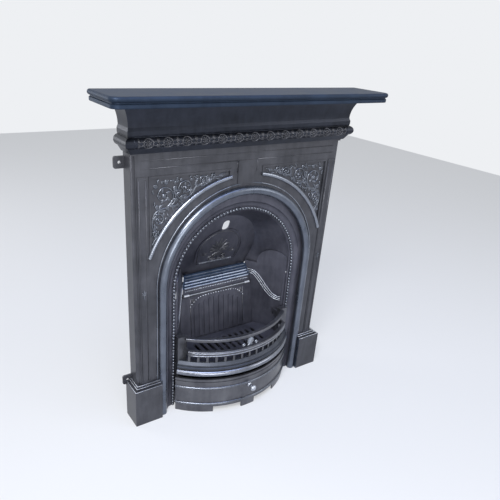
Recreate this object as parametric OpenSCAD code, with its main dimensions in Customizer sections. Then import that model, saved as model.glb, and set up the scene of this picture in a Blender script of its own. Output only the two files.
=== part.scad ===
// Cast iron fireplace: surround, cornice and mantel shelf, and an arched insert that holds
// a hood with its register flap, cheeks, fireback, grate, bowed fire front and ash pit.
// X runs left to right, Y towards the wall, Z up from the hearth.
// Depths named "forward" are measured from the wall plane towards the room.

/* [Body] */
// Width across the sides of the body
body_w = 762; // [750:2:790]
// Height of the body, up to the cornice
body_h = 911; // [900:1:940]
// Depth from the wall to the raised work of the front
body_d = 57; // [55:1:64]
// Wall thickness of the shelf, cornice and sides
iron = 6; // [5:0.5:7]
// Thickness of the front plate
plate_t = 7; // [6.5:0.5:9]
// Height of the raised work over the front plate
raise = 2; // [1:0.5:3]
// Radius of the hollow along the front corners
corner_cove_r = 10; // [6:1:11]

/* [Pilasters] */
// Width of the plain margin outside each pilaster strip
margin_w = 14; // [12:1:20]
// Width of a pilaster strip
strip_w = 31; // [24:1:31]
// Height of the plain band over the strips and panels
top_band_h = 65; // [56:1:76]

/* [Plinths] */
// Height of a plinth up to its first ledge
plinth_h = 140; // [120:1:150]
// Inner side of a plinth, from the centre line
plinth_in = 301; // [299:0.5:302]
// How far a plinth stands out at the side
plinth_side = 18; // [14:1:24]
// How far a plinth stands out at the front
plinth_front = 23; // [16:1:30]
// Height of one of the two small steps on a plinth
plinth_step = 5; // [3:0.5:6]

/* [Arch mouldings of the surround] */
// Springing height of the large half round
round_spring = 484; // [480:1:490]
// Radius of the arch to the middle of the large half round
round_mid_r = 289; // [287:1:290]
// Radius of the half round itself
round_r = 14; // [11:1:14]
// Springing height of the thin fillet
fillet_spring = 488; // [484:1:492]
// Outer radius of the thin fillet
fillet_arch_r = 310; // [308:1:314]
// Width of the thin fillet
fillet_w = 3; // [2:0.5:4]

/* [Spandrel panels] */
// Outer side of a panel, from the centre line
panel_out = 331; // [325:1:335]
// Inner end of a panel, from the centre line
panel_in = 58; // [50:1:70]
// Radius of the bead that closes a panel against the arch
panel_arc_r = 357; // [352:1:362]
// Radius of that bead's own section
panel_bead_r = 5; // [3:0.5:6]
// Width of the raised frame round a panel
panel_frame_w = 6; // [4:0.5:9]
// Depth of a panel's ground
panel_sink = 3; // [1:0.5:4]
// Half width of the plain block between the panels
key_half_w = 34; // [26:1:40]
// Height of the key block and the top frame over the panels
key_rise = 22; // [16:1:28]

/* [Wall lugs] */
// Distance between the lug holes across the body
lug_span_x = 790; // [788:1:800]
// Depth of the upper lug holes under the top of the body
lug_high_drop = 31.5; // [25:0.5:40]
// Height of the lower lug holes over the hearth
lug_low_z = 148.5; // [148:0.5:156]
// Height of a lug
lug_h = 34; // [28:1:40]
// Iron round the outer side of a lug hole
lug_land = 12; // [9:1:14]
// Radius of a lug hole
lug_hole_r = 4.5; // [3:0.5:5]

/* [Cornice] */
// Height of the cornice from the body to the shelf's lower edge
cornice_h = 128; // [124:1:134]
// Projection of the cornice's foot
foot_out = 5; // [3:0.5:6]
// Radius of the ornament roll
roll_r = 15; // [13:0.5:16]
// Height of the roll's middle over the body
roll_z = 30; // [28:1:33]
// Projection of the roll's middle
roll_out = 11; // [10:0.5:12]
// Projection of the fillet over the roll
quirk_out = 15; // [13:0.5:17]
// Projection of the neck under the hollow
neck_out = 11.5; // [10:0.5:13]
// Radius of the tall hollow
hollow_r = 100; // [95:1:115]
// Projection under the shelf
head_out = 33; // [31:0.5:36]

/* [Mantel shelf] */
// Width of the shelf
shelf_w = 940; // [930:2:980]
// Depth of the shelf from the wall
shelf_d = 160; // [155:1:180]
// Height of the shelf's moulded edge
shelf_t = 28; // [26:0.5:32]
// Thickness of the shelf's top plate
shelf_plate = 8; // [7:0.5:10]
// Radius of the shelf's front corners
shelf_r = 24; // [20:1:30]
// Radius of the rounded nosing
nosing_r = 7; // [6:0.5:7.5]

/* [Arched insert] */
// Springing height of the opening
spring_z = 467; // [462:1:472]
// Radius of the opening
opening_r = 232; // [230:1:234]
// Radius of the arch of beads
bead_arch_r = 241; // [240:0.5:242]
// Radius of the core that the beads stand on
bead_core_r = 3; // [2:0.5:4]
// Depth of the bead seat, forward of the wall
seat_f = 37; // [36:0.5:38]
// Depth of the back of the ring, forward of the wall
ring_back_f = 30; // [28:0.5:31]
// Radius of the hollow outside the beads
ring_hollow_r = 18; // [16:0.5:19]
// Thickness of the insert's flange
flange_t = 6; // [5:0.5:7]
// Radius of the flange, hidden behind the surround
flange_r = 330; // [326:1:334]
// Height of the tie bar that carries the grate's front
tie_h = 20; // [14:1:24]

/* [Hood and register flap] */
// How much the hood's radius shrinks for each unit of depth
hood_taper = 0.633; // [0.61:0.005:0.65]
// Wall thickness of the hood
hood_t = 6; // [5:0.5:7]
// Depth of the hood's back at the springing, behind the wall plane
hood_back_y = 103; // [101:1:106]
// Lean of the flap from upright, in degrees
flap_lean = 21.3; // [20:0.1:22.5]
// Thickness of the flap
flap_t = 5; // [4:0.5:6]
// How far the flap laps over the hood's rim
flap_lap = 6; // [4:0.5:6.5]
// Lowest edge of the flap
flap_foot_z = 423; // [421:1:424]
// Height of the flap's pivot
pivot_z = 430; // [429:0.5:432]
// Depth of the flap's pivot behind the wall plane
pivot_y = 109; // [108:0.5:109.5]
// Height of the foot of the hood over the pivot
hood_foot_rise = 2; // [2:0.25:3]
// Radius of a pivot pin
pivot_r = 4; // [3:0.25:4]
// Distance of the knuckles' inner ends from the centre line
knuckle_in = 108; // [100:1:112]
// Length of a knuckle
knuckle_l = 11.7; // [10:0.1:12]
// Thickness of an ear
ear_t = 6; // [5:0.5:7]
// Height of the poker hole's middle up the flap, from the springing
poker_v = 167; // [160:1:170]
// Half width of the poker hole
poker_r = 14; // [10:1:15]
// Extra length of the poker hole
poker_slot = 15; // [10:1:17]
// Half width of the raised oval
oval_r = 91; // [84:1:94]
// Height of the oval's middle up the flap
oval_v = 41; // [38:1:46]
// Extra length of the oval
oval_slot = 16; // [10:1:18]
// Width of the oval's rim
oval_rim_w = 4; // [3:0.5:6]
// Height of the oval's rim
oval_rim_h = 3; // [2:0.5:4]

/* [Cheeks] */
// Inset of a cheek's front edge from the opening
cheek_inset = 10; // [9.5:0.5:12]
// How much a cheek closes in for each unit of depth
cheek_splay = 0.68; // [0.68:0.005:0.7]
// Thickness of a cheek
cheek_t = 5; // [4:0.25:5]
// Back edge of the cheeks, behind the wall plane
cheek_back_y = 100; // [98:1:102]
// Height of a cheek's plain back part
cheek_h = 445; // [440:1:450]
// Radius of a cheek's rounded crest
crest_r = 53; // [46:1:54]
// Height of the crest's middle
crest_z = 454; // [450:1:455]
// Depth of the crest's middle, behind the wall plane
crest_y = 8; // [6:1:10]
// Height of the ridges on a cheek
ridge_h = 3; // [2:0.5:4]
// Spacing of the ridges
ridge_pitch = 7; // [6:0.5:8]
// Width of a ridge
ridge_w = 3.5; // [2.5:0.5:5]
// Width of the ledge that carries the grate
grate_ledge_w = 16; // [15:1:20]

/* [Fireback and throat] */
// Depth of the fireback's foot behind the wall plane
fireback_y = 58; // [56:0.5:60]
// Lean of the fireback in degrees, over the grate
fireback_lean = 6.56; // [5:0.1:7]
// Thickness of the fireback
fireback_t = 8; // [7:0.5:9]
// Height of the fireback
fireback_h = 368; // [364:1:372]
// Half width of the fluted panel
flute_half_w = 106; // [96:1:108]
// Drop of the reeded panel's ends below the fireback's top
panel_drop = 33; // [30:1:36]
// Spacing of the reeds on the fireback
flute_pitch = 21.2; // [18:0.1:24]
// How far the reeds stand out
flute_rise = 3; // [2:0.5:4]
// Height of the throat's plain band
throat_band_h = 19; // [15:1:22]
// Height of the throat's reeded slope
throat_slope_h = 48; // [46:1:50]
// Depth gained along the reeded slope
throat_slope_d = 19; // [18:0.5:20]
// Thickness of the throat plate
throat_t = 6; // [5:0.5:7]
// Number of reeds along the slope
throat_reeds = 5; // [4:1:6]

/* [Bottom grate] */
// Height of the grate's top over the hearth
grate_z = 190; // [186:1:192]
// Thickness of the grate
grate_t = 6; // [5:0.5:7]
// Number of slots
grate_slots = 11; // [9:2:11]
// Spacing of the slots
slot_pitch = 25; // [22:0.5:27]
// Width of a slot
slot_w = 12; // [9:0.5:14]
// Half width of the grate
grate_half_w = 196; // [190:1:196]
// Play between the grate's bowed edge and the fire front
grate_front_play = 5.5; // [5:0.25:7]

/* [Fire front] */
// How far the ends of the bowed front stand forward of the wall
bow_end_f = 62; // [60:0.2:64]
// How far the top rail stays inside the front of the cover
top_rail_in = 16; // [14:1:18]
// Half width of the two rails, over their returns
rail_half_w = 209; // [206:0.5:212]
// Depth of a rail
rail_d = 14; // [12:0.5:15]
// Top of the top rail
top_rail_z = 292; // [286:1:296]
// Height of the top rail
top_rail_h = 12; // [10:0.5:14]
// How far the second rail stays inside the front of the cover
mid_rail_in = 5; // [3:1:8]
// Top of the second rail
mid_rail_z = 249; // [244:1:254]
// Height of the second rail
mid_rail_h = 20; // [16:1:22]
// How far the back of the apron stays inside the front of the cover
apron_in = 23; // [21:1:24]
// Top of the apron
apron_top_z = 203; // [199:1:208]
// Underside of the apron
apron_z = 152; // [150:1:156]
// How far the half round of the apron stands over the cover
apron_out = 5; // [3:1:8]
// Height of the apron's half round
apron_round_h = 22; // [20:1:24]
// Number of short bars under the second rail
short_bars = 15; // [11:2:19]
// Width of a short bar
short_bar_w = 8; // [6:0.5:9]
// Inner side of the end stiles, from the centre line
stile_in = 200; // [199.5:0.5:202]
// Outer side of the end stiles, from the centre line
stile_out = 233; // [230:0.5:234]
// Thickness of the end stiles
stile_t = 20; // [16:0.5:20]

/* [Ash pit] */
// Height of the ash pit cover
cover_h = 142; // [137:1:146]
// Outer radius of the cover
cover_r = 335; // [333:1:337]
// Thickness of the cover
cover_t = 5; // [4:0.5:6]
// Half width of the cover
cover_half_w = 243; // [238:1:244]
// Height of the draught holes under the cover
draught_h = 22; // [16:1:24]
// Half width of the cover's middle foot
mid_foot = 28; // [22:1:34]
// Inner side of the cover's outer feet
outer_foot = 132; // [120:1:140]
// Height of the knob over the hearth
knob_z = 90; // [80:1:92]
// Length of the knob in front of the cover
knob_l = 33.6; // [30:0.2:40]
// Radius of the knob's head
knob_r = 11; // [9:0.5:13]
// Radius of the knob's screw
knob_screw_r = 4; // [3:0.25:4]
// Half width of the ash pan
pan_half_w = 150; // [130:1:155]
// Length of the ash pan
pan_l = 168; // [150:1:170]
// Height of the ash pan
pan_h = 70; // [50:1:74]
// Thickness of the pan's sheet
pan_t = 2; // [1.5:0.5:3]
// Half length of the pan's handle
handle_half_l = 42; // [30:1:55]
// How far the handle stands in front of the pan
handle_reach = 22; // [18:1:24]
// Radius of the handle's rod
handle_r = 3; // [2:0.25:3.5]

/* [Fasteners] */
// Radius of the large bolts
bolt_r = 4; // [3:0.25:4]
// Radius of the small bolts
small_bolt_r = 3; // [2.5:0.25:3]
// Iron left over a blind hole
blind_wall = 1.5; // [1:0.25:2]

/* [Clearances] */
// Radial clearance of bolts and pins in their holes
bore_gap = 0.05; // [0.03:0.01:0.09]
// Gap between pieces that lift off or swing and their seats
seat_gap = 0.3; // [0.2:0.05:0.4]
// Gap round pieces that are drawn in and out
slide_gap = 2; // [1.5:0.25:2.5]

/* [Hidden] */
$fn = 96;

half_w = body_w / 2;
strip_top = body_h - top_band_h;
lug_span_z = body_h - lug_high_drop - lug_low_z;
bow_y = sqrt(pow(cover_r, 2) - pow(cover_half_w, 2)) - bow_end_f;
top_rail_r = cover_r - top_rail_in;
mid_rail_r = cover_r - mid_rail_in;
apron_in_r = cover_r - apron_in;
apron_out_r = cover_r + apron_out;
plate_f = body_d - raise;
plate_back_f = plate_f - plate_t;
front_reach = cover_r - bow_y + knob_l;
flap_face_y = seat_gap / cos(flap_lean);
back_reach = back_at(flap_foot_z) + flap_face_y + flap_t / cos(flap_lean);
wall_y = (front_reach - back_reach) / 2;
far = 1000;
inner_edge_r = round_mid_r - round_r;
key_foot_z = min(fillet_spring + fillet_arch_r - 4 * fillet_w, strip_top);
bolt_head_h = 5.5;
rivet_r = 2;
rivet_head_r = 4;
head_share = 1.85;
end_gap = 0.5;
knuckle_r = pivot_r + 2.5;
iron_dark = "#34373d";
iron_mid = "#3c4047";
iron_light = "#4a4f58";
steel_dark = "#55585e";

// Depth of the hood's back plane at height z
function back_at(z) = hood_back_y - tan(flap_lean) * (z - spring_z);
// Inner radius of the hood at depth y
function hood_r(y) = opening_r - hood_taper * (y + ring_back_f);
// Inner face of a cheek at depth y, from the centre line
function cheek_x(y) = opening_r - cheek_inset - cheek_splay * (y + ring_back_f);
// Front face of the leaning fireback at height z
function fireback_at(z) = fireback_y + tan(fireback_lean) * max(0, z - grate_z);
// Points along an arc
function arc(c, r, a0, a1, n) =
    [for (i = [0:n]) c + r * [cos(a0 + (a1 - a0) * i / n), sin(a0 + (a1 - a0) * i / n)]];
function backwards(list) = [for (i = [len(list) - 1:-1:0]) list[i]];

// Sets the wall plane where the part's own frame has it
module at_wall() { translate([0, wall_y, 0]) children(); }

// Both sides of the centre line
module both_sides() {
    for (side = [0, 1])
        mirror([side, 0, 0]) children();
}

// Sweeps a section (radius, forward) over a half circle and down both legs
module arch_sweep(spring) {
    translate([0, 0, spring]) rotate([90, 0, 0]) rotate_extrude(angle = 180) children();
    both_sides() linear_extrude(spring) mirror([0, 1, 0]) children();
}

// A flat outline (x, z) given a thickness forward of depth f
module forward_plate(f, t) {
    translate([0, -f, 0]) rotate([90, 0, 0]) linear_extrude(t) children();
}

// A section (y, z) drawn along X, centred
module along_x(length) {
    rotate([90, 0, 90]) linear_extrude(length, center = true) children();
}

// A pin along Y from depth y0 to y1
module pin_y(x, z, r, y0, y1) {
    translate([x, y0, z]) rotate([-90, 0, 0]) cylinder(h = y1 - y0, r = r);
}

// A screw whose hexagon head lies at the origin and whose shank points up
module hex_screw(r, length) {
    translate([0, 0, -bolt_head_h]) cylinder(h = bolt_head_h, r = head_share * r, $fn = 6);
    cylinder(h = length, r = r);
}

// Arch outline with legs down to the hearth
module arch_2d(r, spring) {
    translate([0, spring]) circle(r);
    translate([-r, -1]) square([2 * r, spring + 1]);
}

// ---------- Surround ----------

module panel_2d(inset) {
    difference() {
        translate([panel_in + inset, spring_z])
            square([panel_out - panel_in - 2 * inset, strip_top - inset - spring_z]);
        translate([0, spring_z]) circle(panel_arc_r + inset);
    }
}

// Section of the raised bead, with its foot sunk in the plate
module bead_section() {
    b = panel_bead_r;
    polygon([[-b, -panel_sink - 1], [-b, 0.3 * b], [-0.5 * b, b], [0.5 * b, b], [b, 0.3 * b],
        [b, -panel_sink - 1]]);
}

module front_plate() {
    corner_block = corner_cove_r + iron;
    difference() {
        union() {
            forward_plate(plate_back_f, plate_t) difference() {
                translate([-half_w, 0]) square([body_w, body_h]);
                arch_2d(inner_edge_r + 2, round_spring);
            }
            both_sides() {
                translate([half_w - iron, -plate_f, 0]) cube([iron, plate_f, body_h]);
                translate([half_w - corner_block, -plate_f, 0])
                    cube([corner_block, corner_block, body_h]);
                forward_plate(plate_f, raise) difference() {
                    panel_2d(0);
                    panel_2d(panel_frame_w);
                }
                translate([half_w - margin_w - strip_w, -body_d, plinth_h])
                    cube([strip_w, raise + 1, strip_top - plinth_h]);
            }
            translate([-key_half_w, -body_d, key_foot_z])
                cube([2 * key_half_w, raise + 1, strip_top + key_rise - key_foot_z]);
        }
        both_sides() {
            forward_plate(plate_f - panel_sink, panel_sink + 1) panel_2d(panel_frame_w);
            translate([half_w, -plate_f, plinth_h]) cylinder(h = far, r = corner_cove_r);
        }
        forward_plate(plate_f, plate_t) arch_2d(fillet_arch_r - fillet_w, fillet_spring);
    }
}

plinth_ledges = 2;
ledge_front_parts = 3.5;
ledge_side_parts = 4;

module plinth() {
    translate([plinth_in, -body_d - plinth_front, 0])
        cube([half_w + plinth_side - plinth_in, body_d + plinth_front, plinth_h]);
    for (step = [1:plinth_ledges])
        let (parts = plinth_ledges + 1 - step)
            translate([plinth_in, -body_d - plinth_front * parts / ledge_front_parts, plinth_h])
                cube([half_w + plinth_side * parts / ledge_side_parts - plinth_in,
                    body_d + plinth_front * parts / ledge_front_parts, plinth_step * step]);
}

module wall_lug(z) {
    corner = lug_land / 2;
    x0 = half_w - iron;
    x1 = lug_span_x / 2 + lug_land + lug_hole_r;
    forward_plate(0, iron) translate([0, z]) polygon(concat(
        [[x0, lug_h / 2], [x0, -lug_h / 2]],
        arc([x1 - corner, corner - lug_h / 2], corner, -90, 0, 6),
        arc([x1 - corner, lug_h / 2 - corner], corner, 0, 90, 6)
    ));
}

module surround() {
    flange_d = body_d - iron;
    bead_from = acos((panel_out + 2) / panel_arc_r);
    bead_to = acos((panel_in - 2) / panel_arc_r);
    color(iron_mid) at_wall() difference() {
        union() {
            front_plate();
            both_sides() {
                plinth();
                wall_lug(lug_low_z);
                wall_lug(lug_low_z + lug_span_z);
            }
            translate([-half_w, -plate_f, body_h - iron]) cube([body_w, flange_d, iron]);
            arch_sweep(fillet_spring)
                translate([fillet_arch_r - fillet_w, plate_back_f])
                    square([fillet_w, plate_t + raise]);
            arch_sweep(round_spring) intersection() {
                translate([round_mid_r, body_d]) circle(round_r);
                translate([inner_edge_r, plate_back_f]) square([2 * round_r, far]);
            }
            both_sides() translate([0, 0, spring_z]) rotate([90, 0, 0])
                rotate([0, 0, bead_from])
                    rotate_extrude(angle = bead_to - bead_from)
                        translate([panel_arc_r + 1, plate_f]) bead_section();
        }
        both_sides() {
            translate([plinth_in + iron, -body_d - plinth_front + iron, -1])
                cube([half_w + plinth_side - plinth_in - 2 * iron, far, plinth_h + 1 - iron]);
            translate([plinth_in - 1, -plate_back_f, -1])
                cube([flange_r + slide_gap - plinth_in + 1, far, plinth_h + 2 * plinth_step + 2]);
            for (z = [lug_low_z, lug_low_z + lug_span_z])
                pin_y(lug_span_x / 2, z, lug_hole_r, -iron - 1, 1);
        }
        each_insert_bolt() pin_y(0, 0, bolt_r + bore_gap, -plate_f + blind_wall, 0);
        each_cornice_bolt() translate([0, 0, body_h - iron - 1])
            cylinder(h = iron + 2, r = bolt_r + bore_gap);
    }
}

// ---------- Cornice ----------

cornice_top = height_of_seat() - body_h;
function height_of_seat() = body_h + cornice_h + shelf_t - shelf_plate;

function cornice_line(inset) = concat(
    [[foot_out - inset, 0]],
    arc([roll_out, roll_z], roll_r - inset, roll_turn[0], roll_turn[1], 12),
    [[quirk_out - inset, roll_z + quirk_rise[0] * roll_r],
        [quirk_out - inset, roll_z + quirk_rise[1] * roll_r]],
    arc([neck_out + hollow_r, hollow_z], hollow_r + inset, 180, 180 - hollow_turn, 10),
    [[head_out - inset, cornice_h], [head_out - inset, cornice_top]]
);
roll_turn = [-75, 80];
quirk_rise = [1.35, 2];
hollow_rise = 2.6;
hollow_lip = 3;
hollow_z = roll_z + hollow_rise * roll_r;
hollow_turn = asin((cornice_h - hollow_z - hollow_lip) / hollow_r);

module cornice_section() {
    polygon(concat(cornice_line(0), backwards(cornice_line(iron))));
    translate([-half_d, 0]) square([half_d + foot_out - iron / 2, iron]);
    translate([-half_d, cornice_top - iron]) square([half_d + head_out - iron / 2, iron]);
}
half_d = body_d / 2;

// Draws the cornice section along the front and both returns, mitred at the corners
module mitred_run() {
    e = 2 * head_out;
    d = body_d;
    intersection() {
        translate([0, 0, body_h]) along_x(2 * body_w) mirror([1, 0]) translate([d, 0]) children();
        linear_extrude(far * 2) polygon([
            [-half_w - e, -d - e], [half_w + e, -d - e], [half_w - d, 0], [-half_w + d, 0]
        ]);
    }
    both_sides() intersection() {
        translate([0, 0, body_h]) rotate([90, 0, 0]) linear_extrude(d + e)
            translate([half_w, 0]) children();
        linear_extrude(far * 2) polygon([[half_w + e, -d - e], [half_w + e, 0], [half_w - d, 0]]);
    }
}

module cornice() {
    color(iron_mid) at_wall() difference() {
        mitred_run() cornice_section();
        each_cornice_bolt() translate([0, 0, body_h - 1])
            cylinder(h = iron - blind_wall + 1, r = bolt_r + bore_gap);
        each_shelf_bolt() translate([0, 0, height_of_seat() - iron - 1])
            cylinder(h = iron + 2, r = bolt_r + bore_gap);
    }
}

cornice_bolt_at = [-0.8, -0.3, 0.3, 0.8];
cornice_bolt_fore = 0.7;
shelf_bolt_at = [-0.75, -0.25, 0.25, 0.75];
shelf_bolt_fore = 0.5;

module each_cornice_bolt() {
    for (at = cornice_bolt_at)
        translate([half_w * at, -body_d + half_d * cornice_bolt_fore, 0]) children();
}

module each_shelf_bolt() {
    for (at = shelf_bolt_at)
        translate([half_w * at, -body_d + half_d * shelf_bolt_fore, 0]) children();
}

module cornice_bolts() {
    color(steel_dark) at_wall() each_cornice_bolt() translate([0, 0, body_h - iron])
        hex_screw(bolt_r, 2 * iron - blind_wall - end_gap);
}

module shelf_bolts() {
    color(steel_dark) at_wall() each_shelf_bolt() translate([0, 0, height_of_seat() - iron])
        hex_screw(bolt_r, iron + shelf_plate - blind_wall - end_gap);
}

// ---------- Mantel shelf ----------

edge_foot_in = 5;
edge_drip_in = 4;
edge_drip_h = 2;

module shelf_edge_2d() {
    rim = shelf_r / 2;
    polygon(concat(
        [[0, shelf_t], [0, shelf_t - shelf_plate], [rim, shelf_t - shelf_plate], [rim, 0]],
        [[shelf_r - edge_foot_in, 0], [shelf_r - edge_drip_in, edge_drip_h]],
        [[shelf_r - edge_drip_in, shelf_t / 3]],
        [[shelf_r - nosing_r, shelf_t / 3 + edge_drip_h], [shelf_r - nosing_r, shelf_t - 2 * nosing_r]],
        arc([shelf_r - nosing_r, shelf_t - nosing_r], nosing_r, -90, 90, 10)
    ));
}

module mantel_shelf() {
    cx = shelf_w / 2 - shelf_r;
    cy = shelf_d - shelf_r;
    bottom = height_of_seat() + shelf_plate - shelf_t;
    color(iron_light) at_wall() difference() {
        union() {
            translate([-cx, -cy, bottom + shelf_t - shelf_plate]) cube([2 * cx, cy, shelf_plate]);
            translate([0, -cy, bottom]) along_x(2 * cx) mirror([1, 0]) shelf_edge_2d();
            both_sides() {
                translate([cx, 0, bottom]) rotate([90, 0, 0]) linear_extrude(cy) shelf_edge_2d();
                translate([cx, -cy, bottom]) rotate([0, 0, -90]) rotate_extrude(angle = 90)
                    shelf_edge_2d();
            }
        }
        each_shelf_bolt() translate([0, 0, height_of_seat() - 1])
            cylinder(h = shelf_plate - blind_wall + 1, r = bolt_r + bore_gap);
    }
}

// ---------- Arched insert ----------

hollow_mid_r = opening_r + ring_hollow_r;
hollow_mid_f = seat_f + 1 + ring_hollow_r;
ring_edge = 3;
ring_lap = 30;

function ring_section() = concat(
    [[flange_r, plate_back_f - flange_t], [flange_r, plate_back_f]],
    arc([hollow_mid_r, hollow_mid_f], ring_hollow_r,
        asin((plate_back_f - hollow_mid_f) / ring_hollow_r), -90, 8),
    [[hollow_mid_r - ring_edge, seat_f], [opening_r + ring_edge, seat_f]],
    [[opening_r, seat_f - ring_edge], [opening_r, ring_back_f], [opening_r + ring_lap, ring_back_f]],
    [[opening_r + ring_lap, plate_back_f - flange_t]]
);

// Space inside the hood, grown by extra, down to height foot
module hood_space(extra, foot) {
    deep = back_reach + 10;
    intersection() {
        translate([0, -ring_back_f, spring_z]) rotate([-90, 0, 0])
            cylinder(h = deep + ring_back_f, r1 = opening_r + extra, r2 = hood_r(deep) + extra);
        translate([-far / 2, -far / 2, spring_z]) cube(far);
    }
    translate([0, 0, foot]) linear_extrude(spring_z - foot) polygon([
        [-opening_r - extra, -ring_back_f], [opening_r + extra, -ring_back_f],
        [hood_r(deep) + extra, deep], [-hood_r(deep) - extra, deep]
    ]);
}

// Everything in front of the hood's back plane, moved back by shift
module before_back(shift) {
    along_x(far) polygon([
        [-far, -far], [back_at(-far) + shift, -far], [back_at(far) + shift, far], [-far, far]
    ]);
}

flange_mid_r = (hollow_mid_r + ring_hollow_r + flange_r) / 2;
leg_bolt_z = [210, 400];
crown_bolt_turn = 61;
crown_bolt_out = 12;
crown_bolt_r = flange_mid_r + crown_bolt_out;
tie_back_in = 1.5;

module each_insert_bolt() {
    for (side = [-1, 1]) {
        for (z = leg_bolt_z)
            translate([side * flange_mid_r, 0, z]) children();
        translate([side * crown_bolt_r * cos(crown_bolt_turn), 0,
            spring_z + crown_bolt_r * sin(crown_bolt_turn)]) children();
    }
}

module arched_insert() {
    color(iron_dark) at_wall() difference() {
        union() {
            arch_sweep(spring_z) polygon(ring_section());
            arch_sweep(spring_z) intersection() {
                translate([bead_arch_r, seat_f]) circle(bead_core_r);
                translate([opening_r, seat_f - 1]) square([2 * ring_hollow_r, ring_hollow_r]);
            }
            intersection() {
                difference() {
                    hood_space(hood_t, pivot_z + hood_foot_rise);
                    translate([0, -1, 0]) hood_space(0, pivot_z - 1);
                    hood_space(0, pivot_z - 1);
                }
                before_back(0);
            }
            translate([-opening_r - 1, -seat_f + 1, grate_z - grate_t - seat_gap - tie_h])
                cube([2 * opening_r + 2, seat_f - ring_back_f - tie_back_in, tie_h]);
        }
        each_insert_bolt() pin_y(0, 0, bolt_r + bore_gap, -far, 0);
        each_cheek_bolt() pin_y(0, 0, small_bolt_r + bore_gap, -ring_back_f - cheek_bolt_deep, 0);
    }
}

module insert_bolts() {
    back = plate_back_f - flange_t;
    color(steel_dark) at_wall() each_insert_bolt() translate([0, -back, 0]) rotate([90, 0, 0])
        hex_screw(bolt_r, flange_t + plate_t - blind_wall - end_gap);
}

// ---------- Register flap ----------

// Places children on the flap: x across, y to the back, z up the flap from the springing
module on_flap() {
    translate([0, back_at(spring_z) + flap_face_y, spring_z]) rotate([flap_lean, 0, 0]) children();
}

module slot_y(r, extra, v, y0, y1) {
    for (end = [-1, 1])
        pin_y(0, v + end * extra / 2, r, y0, y1);
    translate([-r, y0, v - extra / 2]) cube([2 * r, y1 - y0, extra]);
}

bar_half_l = oval_r * 0.87;
bar_h = 6;
web_out = 2;
web_sink = 3;

module register_flap() {
    v_mid = oval_v + oval_slot / 2;
    teeth_v = oval_v - oval_r / 2;
    color(iron_dark) at_wall() difference() {
        union() {
            intersection() {
                hood_space(flap_lap, flap_foot_z);
                difference() {
                    before_back(flap_face_y + flap_t / cos(flap_lean));
                    before_back(flap_face_y);
                }
            }
            on_flap() {
                difference() {
                    slot_y(oval_r + oval_rim_w, oval_slot, v_mid, -oval_rim_h, 1);
                    slot_y(oval_r, oval_slot, v_mid, -far, far);
                    translate([-far / 2, -far / 2, teeth_v - far]) cube(far);
                }
                translate([-bar_half_l, -oval_rim_h, teeth_v]) cube([2 * bar_half_l, oval_rim_h + 1, bar_h]);
            }
            both_sides() {
                translate([knuckle_in, pivot_y, pivot_z]) rotate([0, 90, 0])
                    cylinder(h = knuckle_l, r = knuckle_r);
                translate([knuckle_in, pivot_y, pivot_z - pivot_r - web_out])
                    cube([knuckle_l, back_at(pivot_z) + web_sink - pivot_y, 2 * (pivot_r + web_out)]);
            }
        }
        on_flap() slot_y(poker_r, poker_slot, poker_v, -far, far);
        both_sides() translate([knuckle_in - 1, pivot_y, pivot_z]) rotate([0, 90, 0])
            cylinder(h = knuckle_l + 2, r = pivot_r + bore_gap);
    }
}

pin_head_h = 3;
pin_head_out = 2;

module flap_pivots() {
    pin_l = knuckle_l + seat_gap + ear_t;
    color(steel_dark) at_wall() both_sides() translate([knuckle_in, pivot_y, pivot_z]) rotate([0, 90, 0]) {
        cylinder(h = pin_l, r = pivot_r);
        translate([0, 0, pin_l]) cylinder(h = pin_head_h, r = pivot_r + pin_head_out);
    }
}

// ---------- Cheeks ----------

ogee_low_z = 328;
ogee_high_z = 415;
ogee_y0 = -20;
ogee_y1 = 75;
ogee_steps = 22;
ogee_end = 8;

function ogee_turn(y) = min(1, max(0, (y - ogee_y0) / (ogee_y1 - ogee_y0)));
function ogee_z(y) = ogee_low_z + (ogee_high_z - ogee_low_z) * (1 - cos(180 * ogee_turn(y))) / 2;
function ogee_slope(y) = (ogee_z(y + 0.5) - ogee_z(y - 0.5));
function ogee_line(drop) = [
    for (i = [0:ogee_steps])
        let (y = -ring_back_f + (cheek_back_y - ogee_end + ring_back_f) * i / ogee_steps,
            s = ogee_slope(y))
            [y + drop * s / sqrt(1 + s * s), ogee_z(y) - drop / sqrt(1 + s * s)]
];

// Plan of a slice of the right cheek, from its inner face moved by a to the face moved by b
module cheek_slice(a, b) {
    k = sqrt(1 + cheek_splay * cheek_splay);
    polygon([
        [cheek_x(-ring_back_f) + a * k, -ring_back_f], [cheek_x(-ring_back_f) + b * k, -ring_back_f],
        [cheek_x(cheek_back_y) + b * k, cheek_back_y], [cheek_x(cheek_back_y) + a * k, cheek_back_y]
    ]);
}

module cheek_side_2d() {
    translate([-ring_back_f, 0]) square([cheek_back_y + ring_back_f, cheek_h]);
    intersection() {
        translate([crest_y, crest_z]) circle(crest_r);
        translate([-ring_back_f, 0]) square([cheek_back_y + ring_back_f, far]);
    }
}

peg_y = -18;
peg_z = 262;
peg_size = 8;
rib_h = 180;
rib_w = 22;
rib_in = 20;
ridges = 3;
flange_start = 4;
flange_reach = 26;
flange_drop = 5;
ledge_front_y = -10;
ledge_t = 6;
peg_lap = 2;
peg_root = 3;

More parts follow.
